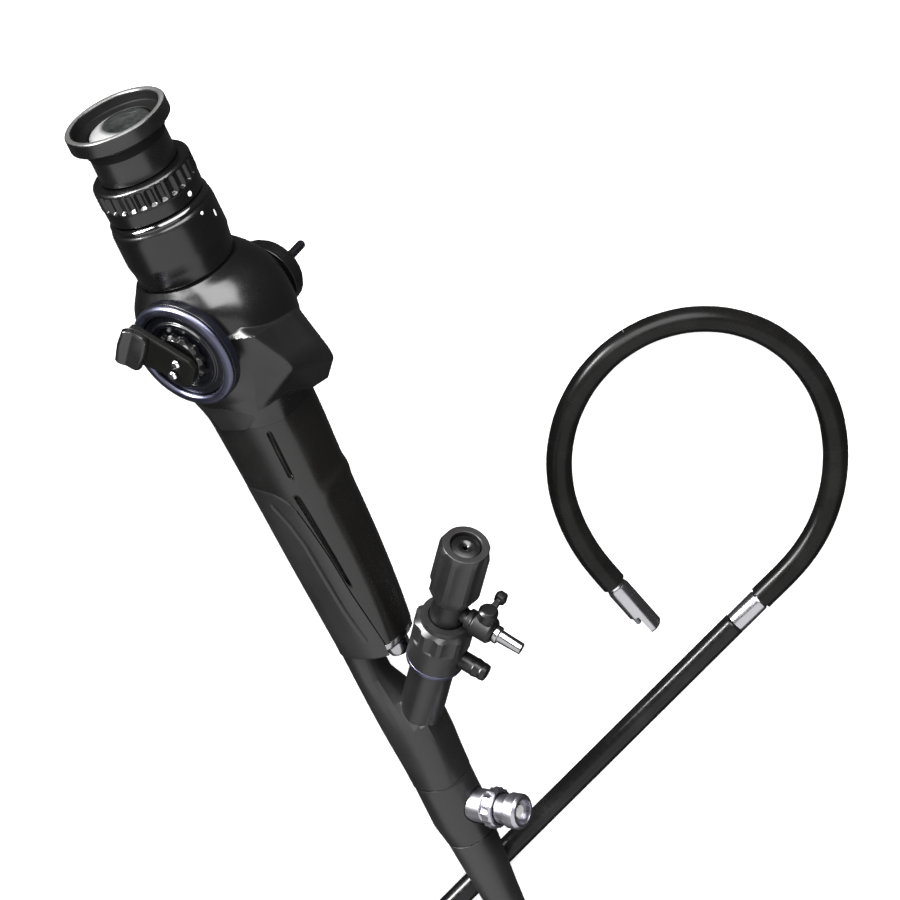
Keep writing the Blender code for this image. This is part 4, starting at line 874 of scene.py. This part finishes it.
# %% Shape of the finger rest
REST_PLANES = (
    (1.00, 0.400, -0.108, 26.2), (1.00, -0.178, 0.048, 33.25), (1.00, -1.227, 0.520, 50.90),
    (0.33, -0.200, 0.950, 21.2), (0.35, 0.000, -0.940, 19.2), (0.75, 0.300, -0.600, 22.6),
    (0.00, -0.200, 1.000, 20.0), (-1.0, 0.000, 0.000, 5.0),
)
FARTHEST = 60.0
REST_BLEND = 1.5
HEAD_BLEND = 0.7
SHOULDER_LEAN = 0.27
SHOULDER_AT = -0.6
SHOULDER_FALL = 1.7


def least(a, b, soft):
    """The smaller of two values, with the corner between them rounded off."""
    gap = max(soft - abs(a - b), 0.0) / soft
    return min(a, b) - gap * gap * soft * 0.25


def rest_reach(angle, station):
    """Reach of the finger rest, which falls away over the dome's shoulder."""
    reach = FARTHEST
    over = station - SHOULDER_LEAN * dome_reach(angle, station) * math.sin(angle) - SHOULDER_AT
    for front, along, side, far in REST_PLANES:
        toward = front * math.cos(angle) + side * math.sin(angle)
        if toward > 0.02:
            reach = least(reach, max((far - along * station) / toward, 0.0), REST_BLEND)
    return reach - SHOULDER_FALL * max(over, 0.0)


def head_reach(angle, station):
    """The further of dome and finger rest."""
    return -least(-dome_reach(angle, station), -rest_reach(angle, station), HEAD_BLEND)


print("finger rest: reaches", round(rest_reach(0.0, -12.0), 1), "mm to the front")

# %% [markdown]
# The mesh is rows of points around the axis, closer together over the finger rest, and goes on inside, so
# the head is hollow. A face is matte where the finger rest stands out of the dome.

# %% Mesh of the head
TABLE_GAP = 0.00002
HEAD_LOW = -31.0
HEAD_HIGH = 20.0
HEAD_ROWS = 150
HEAD_ANGLES = [math.radians(-60.0 + 0.8 * step) for step in range(150)]
HEAD_ANGLES += [math.radians(60.0 + 2.5 * step) for step in range(96)]
WALL = 4.5
MOUTH = ((20.0, 12.2), (14.8, 12.2), (13.0, 14.0))
HOLLOW = (5.0, -5.0, -15.0, -24.0)
FOOT = ((-26.0, 7.7), (-31.0, 7.7))


def around_long(angle, station, reach):
    """World place at an angle, station and reach in millimetres, kept above the table."""
    place = spot(reach * math.cos(angle), station, reach * math.sin(angle))
    return Vector((place.x, place.y, max(place.z, TABLE_GAP)))


def head_skin():
    """Outer wall in rows along the axis, and an inner wall back to the first."""
    sides = len(HEAD_ANGLES)
    stations = [HEAD_LOW + (HEAD_HIGH - HEAD_LOW) * row / (HEAD_ROWS - 1) for row in range(HEAD_ROWS)]
    rows = [(station, [head_reach(angle, station) for angle in HEAD_ANGLES]) for station in stations]
    rows += [(station, [reach] * sides) for station, reach in MOUTH]
    rows += [(station, [dome_reach(angle, station) - WALL for angle in HEAD_ANGLES]) for station in HOLLOW]
    rows += [(station, [reach] * sides) for station, reach in FOOT]
    points, rings = stack(
        [around_long(angle, station, reach) for angle, reach in zip(HEAD_ANGLES, reaches)]
        for station, reaches in rows
    )
    item = solid("head_skin", points, join_rings(rings + rings[:1]))
    for material in (SHELL, REST_SKIN):
        item.data.materials.append(material)
    for index in range((HEAD_ROWS - 1) * sides):
        angle, station = HEAD_ANGLES[index % sides], stations[index // sides]
        proud = rest_reach(angle, station) > dome_reach(angle, station) - 0.15
        item.data.polygons[index].material_index = int(proud)
    return item


head = head_skin()
print("head:", len(head.data.polygons), "faces before the cuts")

# %% [markdown]
# Three round seats are cut out of the head: for the plate under the lever, for the lever's shaft, and for
# the boss of the vent on the far side. Each Boolean's result is kept as the mesh.

# %% Seats in the head
LEVER_PLACE = (4.4, 2.0, 0.0)
PLATE_AXIS = frame_on(spot(*LEVER_PLACE), LEVER_WAY, LONG_WAY)
BOSS_AXIS = frame_on(spot(6.5, 1.2, 0.0), -LEVER_WAY, LONG_WAY)
SEATS = (
    ("lever_seat", PLATE_AXIS, 18.0, 17.5, 36.0, 128), ("shaft_hole", PLATE_AXIS, 4.4, 8.0, 19.0, 48),
    ("boss_seat", BOSS_AXIS, 11.4, 19.5, 34.0, 96),
)


def carve(item, cutter):
    """Cuts one mesh by another for good."""
    cut = item.modifiers.new("cut", "BOOLEAN")
    cut.object = cutter
    cut.solver = "EXACT"
    shaped = item.evaluated_get(bpy.context.evaluated_depsgraph_get())
    item.data = bpy.data.meshes.new_from_object(shaped)
    item.modifiers.clear()
    item.data.set_sharp_from_angle(angle=math.radians(35.0))
    bpy.data.objects.remove(cutter)


for name, place, reach, low, high, sides in SEATS:
    cylinder = [(0.0, low), (reach, low), (reach, high), (0.0, high)]
    carve(head, turned(name, place, cylinder, 0.01, sides))
stands_for(head, "head_housing")

# %% [markdown]
# Under the lever lies a round plate with a broad blue trim. The plate has one raised ring around the hub,
# and the trim is a flat band with its outer edge turned down.

# %% Plate and trim
plate_profile = [
    (4.4, 17.8), (17.6, 17.8), (17.6, 20.6), (14.2, 20.6), (14.0, 21.3), (11.8, 21.3), (11.5, 22.0),
    (10.4, 22.0), (10.1, 21.3), (4.4, 21.3),
]
stands_for(turned("control_plate_skin", PLATE_AXIS, plate_profile, 0.2, 128), "control_plate", PLATE_SHELL)
trim_profile = [(14.3, 20.75), (17.6, 20.75), (17.6, 21.6), (16.9, 22.4), (15.0, 22.6), (14.3, 22.0)]
stands_for(turned("plate_trim_skin", PLATE_AXIS, trim_profile, 0.3, 128), "plate_trim", BLUE)

# %% [markdown]
# The thumb pushes a soft black pad. Its section is a low hook, highest at the far edge so that the thumb
# does not slip, and it narrows toward both ends. The mesh is that section in seven sizes across the pad.

# %% Pad of the lever
LEVER_TURN = math.radians(50.0)
HOOK = [(8.3, 27.95), (16.9, 28.75), (17.7, 30.2), (17.0, 31.8), (15.6, 31.6), (14.0, 30.5), (8.6, 30.3)]
HOOK_MIDDLE = Vector((13.0, 30.0))
PAD_SIZES = ((-7.4, 0.45), (-7.1, 0.72), (-6.3, 0.90), (0.0, 1.0), (6.3, 0.90), (7.1, 0.72), (7.4, 0.45))


def pad_skin():
    """The hook's section, shrunk toward its middle at places across the pad."""
    toward = FRONT_WAY * -math.sin(LEVER_TURN) + LONG_WAY * math.cos(LEVER_TURN)
    place = frame_on(spot(*LEVER_PLACE), LEVER_WAY, toward)
    rows = []
    for across, share in PAD_SIZES:
        section = [HOOK_MIDDLE + (corner - HOOK_MIDDLE) * share for corner in soften(HOOK, 0.7, True)]
        rows.append([place @ (Vector((along, across, lift)) * MM) for along, lift in section])
    points, rings = stack(rows)
    faces = [face[::-1] for face in join_rings(rings)]
    faces += [tuple(rings[0]), tuple(reversed(rings[-1]))]
    return solid("thumb_pad_skin", points, faces, 50.0)


stands_for(pad_skin(), "thumb_pad", RUBBER)

# %% [markdown]
# The grip is one long moulding with a side panel let into it. Its section is a squarish oval again, with
# rows for the back, the front and both sides. The panel starts in an arch, so both meshes share one curve:
# how low the panel's edge lies at each angle around the grip.

# %% Shape of the grip
GRIP_ROWS = (
    (-117.8, 10.3, 13.6, 10.3), (-104.0, 10.8, 15.3, 10.8), (-88.0, 11.4, 16.5, 11.4),
    (-75.0, 11.8, 16.9, 11.8), (-64.0, 12.1, 17.1, 12.1), (-59.5, 12.3, 17.9, 12.2),
    (-56.0, 12.4, 17.2, 12.3), (-52.0, 12.5, 17.3, 12.4), (-40.0, 12.9, 17.9, 12.8),
    (-31.06, 13.2, 17.8, 13.2),
)
ARCH = (
    (32.0, -116.8), (36.4, -107.1), (41.9, -95.0), (45.5, -80.9), (51.5, -69.6), (56.4, -62.6),
    (61.8, -59.6), (71.6, -57.1), (82.0, -55.6), (98.0, -54.5), (113.0, -53.6), (132.0, -53.4),
    (150.0, -55.0), (160.0, -60.0), (165.0, -75.0), (167.0, -116.8),
)
GRIP_TOP = -31.06
GRIP_END = -117.8


def grip_size(angle, station):
    """Reach of the grip; below its end it keeps the last row's size."""
    sizes = [along_rows(GRIP_ROWS, column, max(station, GRIP_END)) for column in (1, 2, 3)]
    return oval(angle, *sizes, sizes[2], 3.0)


def arch_edge(degrees):
    """Station of the panel's upper edge at an angle, straight between the points of the arch."""
    if not ARCH[0][0] < degrees < ARCH[-1][0]:
        return ARCH[0][1]
    for a, b in zip(ARCH, ARCH[1:]):
        if degrees <= b[0]:
            return a[1] + (b[1] - a[1]) * (degrees - a[0]) / (b[0] - a[0])


print("grip: arch at", arch_edge(90.0), "mm on the lever's side")

# %% [markdown]
# Grooves are pressed in along a short line of angles and stations, and end softly at their edges. A quarter
# of a millimetre stands for one degree, which is about right for this grip.

# %% Pressed grooves
MM_PER_DEGREE = 0.25
GROOVE_SOFT = 0.5
PANEL_FOLD = ((55.0, -114.0), (63.4, -102.4), (67.5, -89.6), (71.7, -75.8), (79.9, -67.9), (93.4, -61.0))
WEDGE = ((49.0, -58.6), (46.5, -66.1), (42.0, -82.0), (39.8, -92.0))
SLOT_LINE = ((44.4, -34.0), (44.6, -42.0), (44.8, -50.4))


def press(degrees, station, line, half, depth):
    """Depth of a pressed groove that follows a line of (angle, station) points."""
    here = Vector((degrees * MM_PER_DEGREE, station))
    nearest = math.inf
    for first, last in zip(line, line[1:]):
        a = Vector((first[0] * MM_PER_DEGREE, first[1]))
        b = Vector((last[0] * MM_PER_DEGREE, last[1]))
        t = min(max((here - a).dot(b - a) / (b - a).length_squared, 0.0), 1.0)
        nearest = min(nearest, (here - a.lerp(b, t)).length)
    rise = min(max((half + GROOVE_SOFT / 2.0 - nearest) / GROOVE_SOFT, 0.0), 1.0)
    return depth * rise * rise * (3.0 - 2.0 * rise)


def angle_list(low, high, step):
    """Angles from low up to high, without high itself."""
    count = round((high - low) / step)
    return [low + (high - low) * index / count for index in range(count)]


print("grooves: slot", press(44.6, -42.0, SLOT_LINE, 0.55, 1.3), "mm deep")

# %% [markdown]
# The wall of the grip is two lots of rows, one above the arch and one below, so the step down at the arch
# stays sharp. A narrow slot and a deep wedge are pressed into the front corner.

# %% Grip
STEP_DOWN = 0.75
GRIP_BORE = 7.5
PRESSED_TO = 62.0
GRIP_ANGLES = angle_list(24.0, PRESSED_TO, 0.8) + angle_list(PRESSED_TO, 168.0, 1.6)
GRIP_ANGLES += angle_list(168.0, 384.0, 4.0)


def grip_skin():
    """Outer wall in two lots of rows, above and below the arch, and a straight bore."""
    shares = [(index / 119, False) for index in range(120)] + [(index / 39, True) for index in range(40)]
    rows = []
    for share, below in shares:
        row = []
        for degrees in GRIP_ANGLES:
            angle = math.radians(degrees)
            edge = arch_edge(degrees)
            station = edge + (GRIP_END - edge) * share if below else GRIP_TOP + (edge - GRIP_TOP) * share
            reach = grip_size(angle, station)
            if below and edge > ARCH[0][1]:
                reach -= STEP_DOWN
            if not below and degrees < PRESSED_TO:
                reach -= press(degrees, station, SLOT_LINE, 0.55, 1.3)
                reach -= press(degrees, station, WEDGE, 0.75 - 0.012 * max(-58.0 - station, 0.0), 1.4)
            row.append(around_long(angle, station, reach))
        rows.append(row)
    for station in (GRIP_END, GRIP_TOP):
        rows.append([around_long(math.radians(degrees), station, GRIP_BORE) for degrees in GRIP_ANGLES])
    points, rings = stack(rows)
    faces = [face[::-1] for face in join_rings(rings + rings[:1])]
    return solid("grip_skin", points, faces)


stands_for(grip_skin(), "grip_shell", GRIP)

# %% [markdown]
# The panel begins a hair's width below the arch, and the gap between the two is the fine dark line. Its
# columns of points run down the outside and back up the inside. One shallow fold is pressed into it.

# %% Side panel of the grip
PANEL_LOW = -121.6
PANEL_OUT = 0.05
PANEL_IN = 0.28
PANEL_RIM = 0.25
PANEL_GAP = 0.4
PANEL_ROWS = 100


def panel_skin():
    """Thin curved panel; its far end runs on over the rim of the metal plate."""
    angles = angle_list(33.6, 62.0, 0.8) + angle_list(62.0, 165.6, 1.6) + [165.6]
    columns = []
    for degrees in angles:
        angle = math.radians(degrees)
        edge = min(arch_edge(degrees - 1.5), arch_edge(degrees + 1.5), arch_edge(degrees) - PANEL_GAP)
        column = []
        for row in range(PANEL_ROWS):
            station = edge + (PANEL_LOW - edge) * (row / (PANEL_ROWS - 1))
            fold = press(degrees, station, PANEL_FOLD, 0.8, 0.22)
            rim = PANEL_RIM if row in (0, PANEL_ROWS - 1) else 0.0
            column.append((angle, station, grip_size(angle, station) + PANEL_OUT - fold - rim))
        column += [(angle, station, grip_size(angle, station) - PANEL_IN) for _, station, _ in column[::-1]]
        columns.append([around_long(*place) for place in column])
    points, rings = stack(columns)
    faces = join_rings(rings)
    faces += [tuple(reversed(rings[0])), tuple(rings[-1])]
    return solid("grip_panel_skin", points, faces)


stands_for(panel_skin(), "grip_panel", PANEL)

# %% [markdown]
# The other CAD pieces have the right shape already, and need only a finish and broken edges. The links lie
# inside the cover and keep theirs.

# %% Dress the CAD pieces
dress("vent_boss", SHELL, 0.4)
dress("lever_shaft", STEEL, 0.12)
dress("guide_collar", LAVENDER, 0.12)
dress("vent_pin", DARK_STEEL, 0.12)
dress("lever_hub", SHELL, 0.3)
dress("lever_arm", ARM_BLACK, 0.6)
dress("cap_seal", RUBBER, 0.4)
dress("lever_screw_1 lever_screw_2", CHROME, 0.15)
dress("port_ring", BLUE, 0.15)
dress("luer_nozzle end_plate", NOZZLE_STEEL, 0.15)
dress("guide_barrel", LAVENDER, 0.15)
dress("lower_body", PANEL, 0.3)
dress("plug_body port_cap", PORT_GREY, 0.2)
dress("suction_nipple port_neck side_valve key_hub key_arm", FITTING, 0.2)
dress("guide_sleeve", PANEL, 0.2)
dress("guide_rod", GUIDE_GLASS, 0.1)
dress("boot", BOOT_RUBBER, 0.3)
dress("image_bundle", FIBRE, 0.1)
dress("connecting_ring tip_body", TIP_STEEL, 0.15)
dress("tip_lens", TIP_GLASS, 0.08)
dress(" ".join("link_%02d" % number for number in range(19)), STEEL, 0.0)

# %% [markdown]
# The table is a plain pale floor, large enough to run out of every view. It glows a little, which keeps the
# shadows faint. Black glossy things mirror whatever stands around them, so it is hidden from reflections.

# %% Floor
FLOOR_HALF = 6.0
FLOOR_DROP = 0.0002
floor_mesh = bpy.data.meshes.new("floor")
corners = [(FLOOR_HALF * x, FLOOR_HALF * y, 0) for x, y in ((-1, -1), (1, -1), (1, 1), (-1, 1))]
floor_mesh.from_pydata(corners, [], [(0, 1, 2, 3)])
floor = bpy.data.objects.new("floor", floor_mesh)
floor.location.z = -FLOOR_DROP
bpy.context.scene.collection.objects.link(floor)
paper = Finish("pale_floor", Roughness=0.9, Emission_Color=(1.0, 1.0, 1.0, 1.0), Emission_Strength=0.42)
floor_mesh.materials.append(paper.use(Base_Color=(0.90, 0.90, 0.90)))
floor.visible_glossy = False
floor.visible_diffuse = False
floor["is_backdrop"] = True
print("floor:", 2.0 * FLOOR_HALF, "m wide")

# %% [markdown]
# Three softboxes light the scene. The key stands beyond the eyepiece and makes the broad highlight on the
# dome. A wide, weaker one on the left gives every face that looks that way its even grey, and it ends
# sharply, so the faces that look right stay black. The third is far, narrow and strong, and shows only in
# mirrors: it draws the bright line along the tube. The sky is almost dark.

# %% Lights
def softbox(name, way, away, size, glow):
    """Area light some way off in a direction, its long side level; glow is how bright its face is."""
    data = bpy.data.lights.new(name, "AREA")
    data.shape = "RECTANGLE"
    data.size, data.size_y = size
    data.energy = glow * math.pi * size[0] * size[1]
    lamp = bpy.data.objects.new(name, data)
    way = Vector(way).normalized()
    lamp.matrix_world = frame_on(way * away, way, (1.0, 0.0, 0.0))
    lamp.visible_camera = False
    bpy.context.scene.collection.objects.link(lamp)
    return lamp


softbox("key_light", (0.24, 0.78, 0.56), 1.5, (1.5, 1.1), 14.0)
softbox("left_light", (-0.36, -0.49, 0.79), 1.1, (2.4, 2.2), 1.55)
streak = softbox("streak_light", (-0.60, 0.78, 0.21), 3.0, (1.9, 0.7), 170.0)
streak.visible_diffuse = False
world = bpy.data.worlds.new("dim_sky")
world.use_nodes = True
sky = world.node_tree.nodes["Background"].inputs
sky["Color"].default_value = (1.0, 1.0, 1.0, 1.0)
sky["Strength"].default_value = 0.07
bpy.context.scene.world = world
bpy.context.scene.view_settings.view_transform = "Standard"
print("lights: three softboxes and a dim sky")

# %% [markdown]
# Last comes the box of all that shows now.

# %% Measure and finish
low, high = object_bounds()
